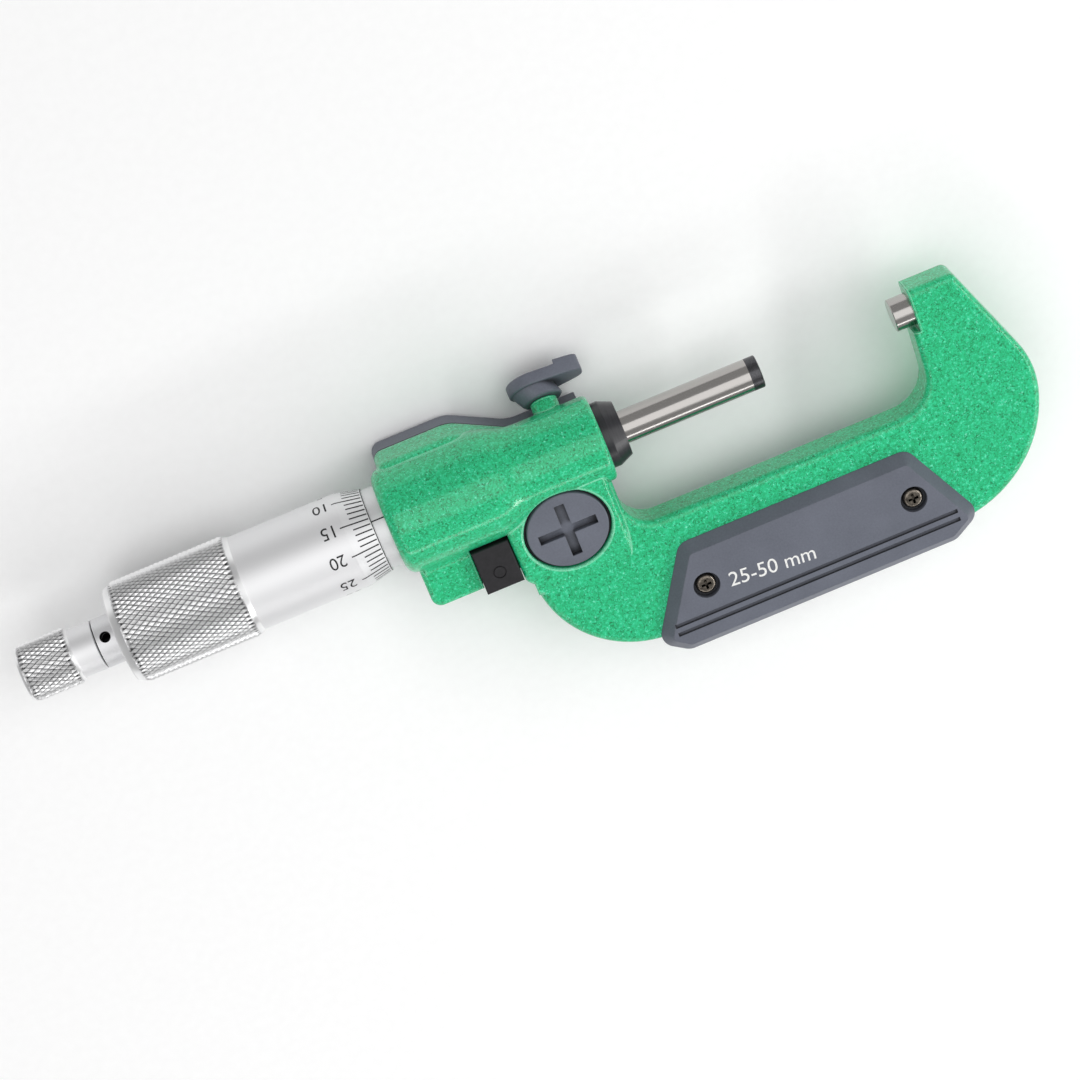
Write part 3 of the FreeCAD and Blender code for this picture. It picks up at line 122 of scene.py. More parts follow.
# Hammertone enamel: an alkyd resin with aluminium flakes, stove dried under a clear skin. To the eye it is
# a bright green that glitters, broken by short dark veins where the flakes have drawn apart. Its palest
# flake clusters are painted glints.
# The veins and cells are 0.7 mm apart and the flakes show in clusters of 0.5 mm, since a single flake of
# 0.03 mm is far too fine for the render. Corners are darkened with painted shade, and a pale line is
# painted along the edges as a painted highlight.
VEINS = 1.5 / MM
VEINED_PATCHES = 0.8 / MM
FLAKES = 1.9 / MM
CORNER_SHADE_REACH = 1.6 * MM
EDGE_HIGHLIGHT_REACH = 0.7 * MM
PAINTED_EDGE = 0.35 * MM
RESIN_EDGE = 1.4 * MM
PEEL_DEPTH = 0.1 * MM
enamel, tree, shader, place = start_finish(
    "hammertone_enamel",
    {"Roughness": 0.4, "Specular IOR Level": 0.3, "Coat Weight": 0.65, "Coat Roughness": 0.07},
)
squiggle = add_node(tree, "TexNoise", {"Vector": place, "Scale": VEINS, "Detail": 1.5, "Distortion": 0.9})
off_middle = add_node(tree, "Math", {0: squiggle, 1: 0.5}, operation="SUBTRACT")
off_vein = add_node(tree, "Math", {0: off_middle}, operation="ABSOLUTE")
vein = add_node(
    tree, "MapRange", {"Value": off_vein, "From Min": 0.01, "From Max": 0.045, "To Min": 1, "To Max": 0}
)
patch = add_node(tree, "TexNoise", {"Vector": place, "Scale": VEINED_PATCHES, "Detail": 1})
shown = add_node(tree, "MapRange", {"Value": patch, "From Min": 0.32, "From Max": 0.46})
veined = add_node(tree, "Math", {0: vein, 1: shown}, operation="MULTIPLY")
# The flake tones vary at random, and the palest clusters are painted glints.
glitter = add_node(tree, "TexNoise", {"Vector": place, "Scale": FLAKES, "Detail": 2, "Roughness": 0.6})
greens = ((0.32, "#12B373"), (0.5, "#1DC484"), (0.64, "#31D49A"), (0.78, "#8AEFCD"))
flake_tones_and_glints = add_node(tree, "ValToRGB", {"Fac": glitter}, greens)
cells = add_node(
    tree, "Mix", {SHARE: veined, UNDER: flake_tones_and_glints, OVER: linear("#007F49")}, data_type="RGBA"
).outputs[BLEND]
# Painted shade: the colour is darkened in corners, where less light reaches.
corner = add_node(tree, "AmbientOcclusion", {"Distance": CORNER_SHADE_REACH}, samples=8, only_local=True)
painted_corner_shade = add_node(tree, "ValToRGB", {"Fac": corner.outputs["AO"]}, ((0.35, "#5FA585"), (0.8, "#FFFFFF")))
corner_shaded = add_node(
    tree, "Mix", {SHARE: 1.0, UNDER: cells, OVER: painted_corner_shade}, data_type="RGBA", blend_type="MULTIPLY"
).outputs[BLEND]
# Painted highlight: a pale line along the rounded edges, where a lamp's reflection runs.
flat_face = add_node(tree, "NewGeometry").outputs["Normal"]
near_edge = add_node(tree, "Bevel", {"Radius": EDGE_HIGHLIGHT_REACH}, samples=12)
alike = add_node(tree, "VectorMath", {0: near_edge, 1: flat_face}, operation="DOT_PRODUCT").outputs["Value"]
off_face = add_node(tree, "Math", {0: 1.0, 1: alike}, operation="SUBTRACT")
edge_highlight_band = ((0.004, "#000000"), (0.009, "#FFFFFF"), (0.03, "#FFFFFF"), (0.05, "#000000"))
painted_edge_highlight = add_node(tree, "ValToRGB", {"Fac": off_face}, edge_highlight_band)
green = add_node(
    tree, "Mix", {SHARE: painted_edge_highlight, UNDER: corner_shaded, OVER: linear("#8FE3BE")}, data_type="RGBA"
).outputs[BLEND]
painted_edges = add_node(tree, "Bevel", {"Radius": PAINTED_EDGE}, samples=6)
relief = add_node(tree, "Math", {0: squiggle, 1: glitter}, operation="ADD")
hammered = add_node(
    tree, "Bump", {"Strength": 0.45, "Distance": PEEL_DEPTH, "Height": relief, "Normal": painted_edges}
)
resin_edges = add_node(tree, "Bevel", {"Radius": RESIN_EDGE}, samples=12)
levelled = add_node(
    tree, "Bump", {"Strength": 0.1, "Distance": PEEL_DEPTH, "Height": relief, "Normal": resin_edges}
)
feed(tree, shader, {"Base Color": green, "Normal": hammered, "Coat Normal": levelled})
dress(enamel, "frame")


# Anvil, spindle and their measuring faces: the anvil is a pin pressed into the bow, and the spindle runs
# through the barrel. Both are hardened tool steel, ground round. The faces are lapped flat, and the
# spindle's face is a carbide disc brazed to its end.

# Ground steel: grinding leaves rings round the shaft, 0.01 mm apart, which blur a reflection along X.
# They are drawn 0.1 mm apart and fade every 4 mm round the shaft, so that they show. The stem at the
# spindle's back end is painted black as shade, so that the collar's hole shows dark.
GRINDING = (9 / MM, 0.26 / MM, 0.26 / MM)
GRINDING_DEPTH = 0.004 * MM
STEM_START = -150 * MM
ground, tree, shader, place = start_finish("ground_steel", {"Metallic": 1.0})
along = add_node(tree, "SeparateXYZ", {0: place})
# Painted shade: black from STEM_START back, seen through the collar's hole.
stem_shade = add_node(tree, "MapRange", {"Value": along, "From Min": STEM_START, "From Max": STEM_START - MM})
steel = add_node(
    tree, "Mix", {SHARE: stem_shade, UNDER: linear("#B0ADAA"), OVER: linear("#0A0A0A")}, data_type="RGBA"
).outputs[BLEND]
rings = add_node(tree, "Mapping", {"Vector": place, "Scale": GRINDING})
marks = add_node(tree, "TexNoise", {"Vector": rings, "Scale": 1, "Detail": 2})
polish = add_node(tree, "MapRange", {"Value": marks, "To Min": 0.1, "To Max": 0.24})
scratches = add_node(tree, "Bump", {"Strength": 0.08, "Distance": GRINDING_DEPTH, "Height": marks})
feed(tree, shader, {"Base Color": steel, "Roughness": polish, "Normal": scratches})
dress(ground, "anvil", "spindle", "adjusting_nut", "rotor_key", "ratchet_pawl", "ratchet_spring")

# Carbide: tungsten carbide grains in cobalt, lapped to a dark grey, far duller than the steel beside it.
# Its grains are a thousandth of a millimetre, so its speckle is drawn at 0.2 mm.
CARBIDE_SPECKLE = 5 / MM
carbide, tree, shader, place = start_finish("lapped_carbide", {"Metallic": 1.0, "Roughness": 0.32})
speckle = add_node(tree, "TexNoise", {"Vector": place, "Scale": CARBIDE_SPECKLE, "Detail": 2})
greys = add_node(tree, "ValToRGB", {"Fac": speckle}, ((0.35, "#4A4A4C"), (0.65, "#5C5C5F")))
feed(tree, shader, {"Base Color": greys})
dress(carbide, "spindle_tip")


# Nose bush: a steel ring, turned and then blacked, that is pressed into the barrel's nose round the
# spindle. The socket of the data port is dressed in the same black.

# Black oxide: a satin black with faint grey rings where the tool has turned the steel. A lathe's fine
# feed is 0.05 mm, and the rings are drawn 0.17 mm apart so that they show.
TURNING = (6 / MM, 0.3 / MM, 0.3 / MM)
blacked, tree, shader, place = start_finish("black_oxide", {"Roughness": 0.3})
tool_marks = add_node(tree, "Mapping", {"Vector": place, "Scale": TURNING})
streaks = add_node(tree, "TexNoise", {"Vector": tool_marks, "Scale": 1, "Detail": 1})
blacks = add_node(tree, "ValToRGB", {"Fac": streaks}, ((0.3, "#222226"), (0.7, "#2E2E32")))
feed(tree, shader, {"Base Color": blacks})
dress(blacked, "spindle_bush", "data_connector")


# Sleeve: a steel tube pressed into the barrel, that the thimble runs over. It is plated in satin chrome,
# and one black reference line runs along it, 34 degrees from the back towards the lever.

# Satin chrome: the steel is blasted with beads before it is plated, so it spreads the light and never
# glares. The bead marks are 0.05 mm across, and are drawn at 0.24 mm to show as a fine frost.
BLASTING = 4.2 / MM
BLASTING_DEPTH = 0.01 * MM
satin, tree, shader, place = start_finish(
    "satin_chrome", {"Base Color": linear("#E2E2E3"), "Metallic": 1.0}
)
frost = add_node(tree, "TexNoise", {"Vector": place, "Scale": BLASTING, "Detail": 3, "Roughness": 0.7})
blur = add_node(tree, "MapRange", {"Value": frost, "To Min": 0.46, "To Max": 0.62})
blasted = add_node(tree, "Bump", {"Strength": 0.12, "Distance": BLASTING_DEPTH, "Height": frost})
feed(tree, shader, {"Roughness": blur, "Normal": blasted})
dress(satin, "sleeve")

# Black ink: a matt enamel, printed and stoved, a little thinner in patches 0.3 mm across.
INK_PATCHES = 3 / MM
ink, tree, shader, place = start_finish("black_ink", {"Roughness": 0.6})
patches = add_node(tree, "TexNoise", {"Vector": place, "Scale": INK_PATCHES, "Detail": 2})
inks = add_node(tree, "ValToRGB", {"Fac": patches}, ((0.3, "#0D0D0E"), (0.7, "#1A1A1C")))
feed(tree, shader, {"Base Color": inks})

LINE_LIFT = 0.02 * MM
REFERENCE_ANGLE = math.radians(34)
REFERENCE_WIDTH = 0.26 * MM


def round_place(x, radius, angle):
    """A point on a shaft along X. The angle is measured from the back, +Z, towards the lever, +Y."""
    return Vector((x, radius * math.sin(angle), radius * math.cos(angle)))


def inked_line(shape, start, stop, width, radius_at, angle, steps):
    """A painted line along X that lies on a turned surface."""
    made = bmesh.ops.create_grid(shape, x_segments=steps, y_segments=2, size=0.5)
    for corner in made["verts"]:
        x = start + (stop - start) * (corner.co.x + 0.5)
        radius = radius_at(x) + LINE_LIFT
        corner.co = round_place(x, radius, angle + corner.co.y * width / radius)


def made_object(name, shape, material):
    """Turns a bmesh into an object with one material."""
    mesh = bpy.data.meshes.new(name)
    shape.to_mesh(mesh)
    shape.free()
    mesh.materials.append(material)
    made = bpy.data.objects.new(name, mesh)
    bpy.context.scene.collection.objects.link(made)
    return made


def finished_piece(name, shape, material, body):
    """A piece of the micrometer, on its body."""
    piece = made_object(name, shape, material)
    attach(piece, body)
    return piece


sleeve_low, sleeve_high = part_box("sleeve")
barrel_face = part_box("frame")[0].x
shape = bmesh.new()
inked_line(
    shape, sleeve_low.x, barrel_face, REFERENCE_WIDTH, lambda x: sleeve_high.z, REFERENCE_ANGLE, steps=4
)
finished_piece("sleeve_line", shape, ink, "body")


# Thimble: a steel cup, turned and plated like the sleeve, that is clamped to the spindle's stem. Its front
# is bevelled for the graduations. Its back is knurled for the fingers with two rollers at 30 degrees to
# the axis, which leave rows of diamonds with small flats.
thimble_low, thimble_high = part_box("thimble")
THIMBLE_EDGE = thimble_high.x
THIMBLE_BACK = thimble_low.x
KNURL_RADIUS = thimble_high.y
BEVEL_LENGTH = 5.2 * MM
BEVEL_RADIUS = 8.33 * MM
LIP_LENGTH = 0.12 * MM
LIP_DROP = 0.09 * MM
THIMBLE_RADIUS = 9.45 * MM
SMOOTH_LENGTH = 21.5 * MM
KNURL_LEAD = 1.0 * MM
KNURL_START = THIMBLE_EDGE - BEVEL_LENGTH - SMOOTH_LENGTH - KNURL_LEAD
KNURL_END = THIMBLE_BACK + 1.5 * MM
KNURL_DEPTH = 0.36 * MM
TIP_FLAT = 0.07 * MM
RUN_OUT_SHADE = 0.84
DIAMONDS_ROUND = 60
DIAMONDS_ALONG = 12
BACK_RADIUS = 9.3 * MM
BACK_CHAMFER = 0.2 * MM
BACK_WALL = 9 * MM
BORE_RADIUS = 8.12 * MM
STEM_HOLE_RADIUS = 5.2 * MM
SAME_PLACE = 0.001 * MM
CREASE = 8

# Knurled chrome: the same blasted plate where the cup is smooth. The rollers burnish the knurl's facets
# bright. The valleys and the knurl's run-out are painted dark as shade, unevenly in blotches 0.4 mm
# across. The "groove" attribute is 1 in a valley and 0 on a tip.
VALLEY_SHADE_BLOTCHES = 2.5 / MM
knurled_chrome, tree, shader, place = start_finish("knurled_chrome", {"Metallic": 1.0})
depth = add_node(tree, "Attribute", attribute_name="groove").outputs["Fac"]
valley_shade_noise = add_node(
    tree, "TexNoise", {"Vector": place, "Scale": VALLEY_SHADE_BLOTCHES, "Detail": 3, "Roughness": 0.7}
)
uneven = add_node(tree, "MapRange", {"Value": valley_shade_noise, "To Min": 0.82, "To Max": 1.12})
painted_valley_shade = add_node(tree, "Math", {0: depth, 1: uneven}, operation="MULTIPLY")
# Painted shade: near white on the facets, near black at the valley bottoms.
tip_to_valley = ((0.0, "#ECECED"), (0.08, "#F8F8F8"), (0.79, "#EAEAEB"), (0.92, "#161618"))
diamonds = add_node(tree, "ValToRGB", {"Fac": painted_valley_shade}, tip_to_valley)
burnish = add_node(tree, "MapRange", {"Value": depth, "From Max": 0.08, "To Min": 0.54, "To Max": 0.28})
feed(tree, shader, {"Base Color": diamonds, "Roughness": burnish})


def turned_shape(shape, outline, steps):
    """Spins an open outline of (x, radius) about X."""
    corners = [shape.verts.new((x, 0, radius)) for x, radius in outline]
    edges = [shape.edges.new(pair) for pair in zip(corners, corners[1:])]
    bmesh.ops.spin(
        shape,
        geom=corners + edges,
        cent=(0, 0, 0),
        axis=(1, 0, 0),
        angle=math.tau,
        steps=steps,
        use_merge=True,
    )
    bmesh.ops.remove_doubles(shape, verts=shape.verts, dist=SAME_PLACE)


def lying_along_x(x):
    """The place and turn that lay a new cylinder along X, with its middle at x."""
    return Matrix.Translation((x, 0, 0)) @ Matrix.Rotation(math.pi / 2, 4, "Y")


def knurled_band(shape, start, stop, radius, around, along):
    """A band for a diamond knurl, as a grid whose tips and valleys take turns. Returns both."""
    tube = bmesh.ops.create_cone(
        shape,
        segments=around * 2,
        radius1=radius,
        radius2=radius,
        depth=abs(stop - start),
        matrix=lying_along_x((start + stop) / 2),
    )
    lengths = {edge for vert in tube["verts"] for edge in vert.link_edges}
    lengths = [edge for edge in lengths if abs(edge.verts[0].co.x - edge.verts[1].co.x) > MM]
    bmesh.ops.subdivide_edges(shape, edges=lengths, cuts=along * 2 - 1, use_grid_fill=True)
    tips, valleys = [], []
    for vert in shape.verts:
        row = round((vert.co.x - start) / (stop - start) * along * 2)
        if 0 <= row <= along * 2 and abs(vert.co.yz.length - radius) < 10 * SAME_PLACE:
            column = round(math.atan2(vert.co.y, vert.co.z) * around / math.pi)
            (tips if (column + row) % 2 else valleys).append(vert)
    bmesh.ops.connect_verts(shape, verts=valleys)
    return tips, valleys


def knurled_cup(shape, outline, start, stop, radius, around, along):
    """A turned piece. Its open outline runs from one end of the knurl, round the piece, to the other."""
    groove = shape.verts.layers.float.new("groove")
    turned_shape(shape, outline, around * 2)
    tips, valleys = knurled_band(shape, start, stop, radius, around, along)
    ends = [
        vert for vert in tips + valleys if min(abs(vert.co.x - x) for x in (start, stop)) < SAME_PLACE
    ]
    for vert in valleys + ends:
        vert.co.yz *= (radius - KNURL_DEPTH) / vert.co.yz.length
        vert[groove] = 1
    # The run-out rows get a painted shade value, and the new rims below them get none.
    for vert in ends:
        vert[groove] = RUN_OUT_SHADE
    tips = set(tips).difference(ends)
    for end, (rim_x, rim_radius) in ((start, outline[-1]), (stop, outline[0])):
        open_edges = [edge for edge in shape.edges if edge.is_boundary]
        rim = [edge for edge in open_edges if all(abs(vert.co.x - end) < SAME_PLACE for vert in edge.verts)]
        made = bmesh.ops.extrude_edge_only(shape, edges=rim)["geom"]
        for vert in [item for item in made if isinstance(item, bmesh.types.BMVert)]:
            vert.co.x = rim_x
            vert.co.yz *= rim_radius / vert.co.yz.length
            vert[groove] = 0
    bmesh.ops.bevel(
        shape,
        geom=[vert for vert in shape.verts if vert in tips],
        affect="VERTICES",
        offset=TIP_FLAT * 2,
        offset_type="OFFSET",
        segments=1,
        profile=0.5,
        material=-1,
    )
    bmesh.ops.remove_doubles(shape, verts=shape.verts, dist=2 * SAME_PLACE)
    bmesh.ops.recalc_face_normals(shape, faces=shape.faces)


def smooth_rounds(piece, limit):
    """Smooth shading on the rounded faces, with edges sharper than the limit in degrees left crisp."""
    piece.data.shade_smooth()
    piece.data.set_sharp_from_angle(angle=math.radians(limit))


# From the knurl's lead over the smooth part, the bevel and the lip, down the bore and round the back
outline = [
    (KNURL_START + KNURL_LEAD, THIMBLE_RADIUS),
    (THIMBLE_EDGE - BEVEL_LENGTH, THIMBLE_RADIUS),
    (THIMBLE_EDGE - LIP_LENGTH, BEVEL_RADIUS),
    (THIMBLE_EDGE, BEVEL_RADIUS - LIP_DROP),
    (THIMBLE_EDGE, BORE_RADIUS),
    (THIMBLE_BACK + BACK_WALL, BORE_RADIUS),
    (THIMBLE_BACK + BACK_WALL, STEM_HOLE_RADIUS),
    (THIMBLE_BACK, STEM_HOLE_RADIUS),
    (THIMBLE_BACK, BACK_RADIUS - BACK_CHAMFER),
    (THIMBLE_BACK + BACK_CHAMFER, BACK_RADIUS),
]
shape = bmesh.new()
knurled_cup(shape, outline, KNURL_END, KNURL_START, KNURL_RADIUS, DIAMONDS_ROUND, DIAMONDS_ALONG)
cup = finished_piece("thimble_cup", shape, knurled_chrome, "measuring_spindle")
smooth_rounds(cup, CREASE)
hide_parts("thimble")


# Graduations: fifty divisions inked on the thimble's bevel, one for each hundredth of a millimetre, with
# each fifth line longer and numbered. The numbers read along the cup, away from the frame.
# With the measuring faces 27.157 mm apart, the sleeve's line meets 15.7 divisions.
DIVISIONS = 50
READING = 15.7
SHORT_LINE = 3.4 * MM
LONG_LINE = 5.6 * MM
LINE_STEPS = 28
DIVISION_WIDTH = 0.25 * MM
NUMBER_HEIGHT = 2.5 * MM
NUMBER_NARROWING = 0.95
NUMBER_STRIPS = 10
NUMBER_GAP = 1.2 * MM
SLIVER = 0.004 * MM
EDGE_GAP = 0.3 * MM
EDGE_SHADE_WIDTH = 0.16 * MM
EDGE_SHADE_SEGMENTS = 160


def thimble_radius(x):
    """The radius of the bevel or of the smooth part behind it, at x."""
    share = min(max((THIMBLE_EDGE - x) / BEVEL_LENGTH, 0), 1)
    return BEVEL_RADIUS + (THIMBLE_RADIUS - BEVEL_RADIUS) * share


def division_angle(number):
    """Where a division stands round the thimble at rest."""
    return REFERENCE_ANGLE + math.radians((READING - number) * 360 / DIVISIONS)


def lettering(words, height, narrowing=1):
    """Plain letters or numbers as a flat mesh with its centre at the origin, and its width."""
    curve = bpy.data.curves.new("lettering", "FONT")
    curve.body = words
    curve.resolution_u = 5
    holder = bpy.data.objects.new("lettering", curve)
    flat = bpy.data.meshes.new_from_object(holder)
    shape = bmesh.new()
    shape.from_mesh(flat)
    bpy.data.objects.remove(holder)
    bpy.data.meshes.remove(flat)
    low = Vector(map(min, *[vert.co for vert in shape.verts]))
    high = Vector(map(max, *[vert.co for vert in shape.verts]))
    bmesh.ops.translate(shape, vec=-(low + high) / 2, verts=shape.verts)
    size = height / (high.y - low.y)
    bmesh.ops.scale(shape, vec=(size * narrowing, size, 1), verts=shape.verts)
    return shape, (high.x - low.x) * size * narrowing


line_start = THIMBLE_EDGE - EDGE_GAP
shape = bmesh.new()
for number in range(DIVISIONS):
    line_end = line_start - (SHORT_LINE if number % 5 else LONG_LINE)
    angle = division_angle(number)
    inked_line(shape, line_start, line_end, DIVISION_WIDTH, thimble_radius, angle, LINE_STEPS)
# Painted shade: a thin black ring round the thimble's front edge, where the rim shows dark.
edge_shade_radius = thimble_radius(THIMBLE_EDGE) + LINE_LIFT
bmesh.ops.create_cone(
    shape,
    segments=EDGE_SHADE_SEGMENTS,
    radius1=edge_shade_radius,
    radius2=edge_shade_radius,
    depth=EDGE_SHADE_WIDTH,
    matrix=lying_along_x(THIMBLE_EDGE - EDGE_SHADE_WIDTH / 2),
)
finished_piece("thimble_divisions_edge_shade", shape, ink, "measuring_spindle")

numbers = bmesh.new()
for number in range(0, DIVISIONS, 5):
    shape, width = lettering(str(number), NUMBER_HEIGHT, NUMBER_NARROWING)
    for strip in range(1, NUMBER_STRIPS):
        everything = shape.verts[:] + shape.edges[:] + shape.faces[:]
        height = NUMBER_HEIGHT * (strip / NUMBER_STRIPS - 0.5)
        bmesh.ops.bisect_plane(shape, geom=everything, plane_co=(0, height, 0), plane_no=(0, 1, 0))
    number_middle = THIMBLE_EDGE - EDGE_GAP - LONG_LINE - NUMBER_GAP - width / 2
    radius = THIMBLE_RADIUS + LINE_LIFT
    for vert in shape.verts:
        angle = division_angle(number) - vert.co.y / radius
        vert.co = round_place(number_middle - vert.co.x, radius, angle)
    mesh = bpy.data.meshes.new("number")
    shape.to_mesh(mesh)
    shape.free()
    numbers.from_mesh(mesh)
    bpy.data.meshes.remove(mesh)
bmesh.ops.dissolve_degenerate(numbers, dist=SLIVER, edges=numbers.edges)
finished_piece("thimble_numbers", numbers, ink, "measuring_spindle")


# Ratchet stop: a plated collar that clamps the thimble, and a knurled cap that slips on it. The collar has
# a small hole for its hook spanner. The cap is turned with a smooth neck and a hollow for the toothed
# ring and its spring, and its knurl is rolled like the thimble's.
HOLE_FROM_FACE = 2.3 * MM
HOLE_ANGLE = math.radians(32)
HOLE_RADIUS = 1.1 * MM
HOLE_REACH = 9 * MM

# Drilled chrome: the sleeve's satin plate with its frost drawn in two greys. The spanner hole, with a thin
# ring round its rim, is painted black and not metal, as painted shade.
collar_plate, tree, shader, place = start_finish("drilled_chrome", {"Metallic": 1.0, "Roughness": 0.5})
collar_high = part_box("ratchet_collar")[1]
hole_frame = {
    "Vector": place,
    "Location": round_place(collar_high.x - HOLE_FROM_FACE, collar_high.y, HOLE_ANGLE),
    "Rotation": (-HOLE_ANGLE, 0, 0),
    "Scale": (HOLE_RADIUS, HOLE_RADIUS, HOLE_REACH),
}
seen_from_hole = add_node(tree, "Mapping", hole_frame, vector_type="TEXTURE")
inside = add_node(tree, "TexGradient", {"Vector": seen_from_hole}, gradient_type="SPHERICAL")
# Painted shade: black and not metal inside the drilled hole and at its rim.
hole_shade = add_node(
    tree, "MapRange", {"Value": inside.outputs["Fac"], "From Min": 0.001, "From Max": 0.03}
)
frost = add_node(tree, "TexNoise", {"Vector": place, "Scale": BLASTING, "Detail": 3, "Roughness": 0.7})
plate = add_node(tree, "ValToRGB", {"Fac": frost}, ((0.3, "#DCDCDE"), (0.7, "#E6E6E7")))
drilled = add_node(
    tree, "Mix", {SHARE: hole_shade, UNDER: plate, OVER: linear("#060606")}, data_type="RGBA"
).outputs[BLEND]
plated = add_node(tree, "Math", {0: 1.0, 1: hole_shade}, operation="SUBTRACT")
feed(tree, shader, {"Base Color": drilled, "Metallic": plated})
dress(collar_plate, "ratchet_collar")

knob_low, knob_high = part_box("ratchet_knob")
NECK_FRONT = knob_high.x
CAP_BACK = knob_low.x
CAP_RADIUS = knob_high.y
CAP_START = NECK_FRONT - 5.1 * MM
CAP_END = CAP_BACK + 0.5 * MM
NECK_RADIUS = 4.9 * MM
NECK_CHAMFER = 0.15 * MM
CAP_BORE_RADIUS = 3.9 * MM
CAP_BACK_WALL = 2.2 * MM
PIVOT_HOLE_RADIUS = 3.0 * MM
CAP_DIAMONDS_ROUND = 36
CAP_DIAMONDS_ALONG = 5
# From the knurl's front over the neck, into the hollow and out round the back
outline = [
    (CAP_START + 0.45 * MM, NECK_RADIUS + 0.1 * MM),
    (CAP_START + 0.7 * MM, NECK_RADIUS),
    (NECK_FRONT - NECK_CHAMFER, NECK_RADIUS),
    (NECK_FRONT, NECK_RADIUS - NECK_CHAMFER),
    (NECK_FRONT, CAP_BORE_RADIUS),
    (CAP_BACK + CAP_BACK_WALL, CAP_BORE_RADIUS),
    (CAP_BACK + CAP_BACK_WALL, PIVOT_HOLE_RADIUS),
    (CAP_BACK, PIVOT_HOLE_RADIUS),
    (CAP_BACK, CAP_RADIUS - 0.7 * MM),
    (CAP_BACK + 0.1 * MM, CAP_RADIUS - 0.55 * MM),
]
shape = bmesh.new()
knurled_cup(shape, outline, CAP_END, CAP_START, CAP_RADIUS, CAP_DIAMONDS_ROUND, CAP_DIAMONDS_ALONG)
cap = finished_piece("ratchet_cap", shape, knurled_chrome, "ratchet")
smooth_rounds(cap, CREASE)
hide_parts("ratchet_knob")


# Grey parts: the battery cover, the display cover, its buttons, both grips and the lock lever. They are
# moulded from a glass-filled nylon, and are held by screws, by a thread or behind the display cover.

# Moulded nylon: a blue-grey satin with the fine grain of a spark-eroded mould, a little cloudy, with
# painted shade in its grooves and recesses, and soft along its edges. The grain is 0.05 mm, drawn at
# 0.4 mm so that it shows, and the clouds are 8 mm across.
MOULD_GRAIN = 2.6 / MM
MOULD_GRAIN_DEPTH = 0.03 * MM
MOULD_CLOUDS = 0.12 / MM
GROOVE_SHADE_REACH = 2.0 * MM
MOULDED_EDGE = 0.25 * MM
nylon, tree, shader, place = start_finish(
    "moulded_nylon", {"Roughness": 0.46, "Specular IOR Level": 0.45}
)
grain = add_node(tree, "TexNoise", {"Vector": place, "Scale": MOULD_GRAIN, "Detail": 3, "Roughness": 0.6})
clouds = add_node(tree, "TexNoise", {"Vector": place, "Scale": MOULD_CLOUDS, "Detail": 2})
both = add_node(tree, "Math", {0: grain, 1: clouds}, operation="ADD")
half = add_node(tree, "Math", {0: both, 1: 0.5}, operation="MULTIPLY")
blue_greys = add_node(tree, "ValToRGB", {"Fac": half}, ((0.3, "#5B5F6A"), (0.7, "#6A6E7A")))
# Painted shade: darker in grooves and recesses, where less light reaches.
recess = add_node(tree, "AmbientOcclusion", {"Distance": GROOVE_SHADE_REACH}, samples=8, only_local=True)
painted_groove_shade = add_node(tree, "ValToRGB", {"Fac": recess.outputs["AO"]}, ((0.4, "#6C6C6C"), (0.9, "#FFFFFF")))
groove_shaded = add_node(
    tree, "Mix", {SHARE: 1.0, UNDER: blue_greys, OVER: painted_groove_shade}, data_type="RGBA", blend_type="MULTIPLY"
).outputs[BLEND]
worn_edges = add_node(tree, "Bevel", {"Radius": MOULDED_EDGE}, samples=6)
eroded = add_node(
    tree, "Bump", {"Strength": 0.25, "Distance": MOULD_GRAIN_DEPTH, "Height": grain, "Normal": worn_edges}
)
feed(tree, shader, {"Base Color": groove_shaded, "Normal": eroded})
dress(nylon, "back_grip", "front_grip", "battery_cover", "display_bezel")
dress(nylon, "power_button", "zero_button", "unit_button")


# Lock lever: the same nylon, in one moulding that turns on the frame's boss. A round hub sits on the boss,
# a wider head leans out over it, and the head runs into a thumb piece with a raised block at its end.
# It is built round the origin with its thumb piece along X, and then stood on its pivot.
lock = next(joint for joint in frame["joints"] if joint["name"] == "lock_turn")
PIVOT = Vector(lock["pos_m"])
PIVOT_AXIS = Vector(lock["axis"])
HUB_RADIUS = 4.1 * MM
HUB_LOW = 11 * MM
HUB_SEGMENTS = 48
HEAD_RADIUS = 4.8 * MM
HEAD_SHIFT = 1.0 * MM
HEAD_LOW = 13.5 * MM
HEAD_TOP = 15.95 * MM
THUMB_REACH = 9.2 * MM
THUMB_NARROWING = 0.57
THUMB_SQUARENESS = 0.4
BLOCK_START = 4.5 * MM
BLOCK_RISE = 0.85 * MM
BLOCK_CHAMFER = 0.2 * MM
SEAT_RADIUS = 2.25 * MM
SEAT_DEPTH = 0.95 * MM
LEVER_ROUNDING = 0.35 * MM
LEVER_CREASE = 33
ROUND_STEPS = ((1, 0), (0.5, 0.13), (0.13, 0.5), (0, 1))
shape = bmesh.new()
hub_angle = shape.verts.layers.float.new("hub_angle")
bmesh.ops.create_circle(
    shape, cap_ends=True, segments=HUB_SEGMENTS, radius=HUB_RADIUS - LEVER_ROUNDING
)
bmesh.ops.translate(shape, vec=(0, 0, HUB_LOW), verts=shape.verts)
for vert in shape.verts:
    vert[hub_angle] = math.atan2(vert.co.y, vert.co.x)
covered = []


def next_ring(shape, face, height, outline):
    """Extrudes the top face to a new height. Its points are placed by their angle round the hub."""
    covered.append(face)
    made = bmesh.ops.extrude_face_region(shape, geom=[face])["geom"]
    for vert in [item for item in made if isinstance(item, bmesh.types.BMVert)]:
        vert.co = (*outline(vert[hub_angle]), height)
    return next(item for item in made if isinstance(item, bmesh.types.BMFace))


def ring_of(radius, shift=0):
    """A round outline, shifted away from the thumb piece."""
    return lambda angle: (radius * math.cos(angle) - shift, radius * math.sin(angle))


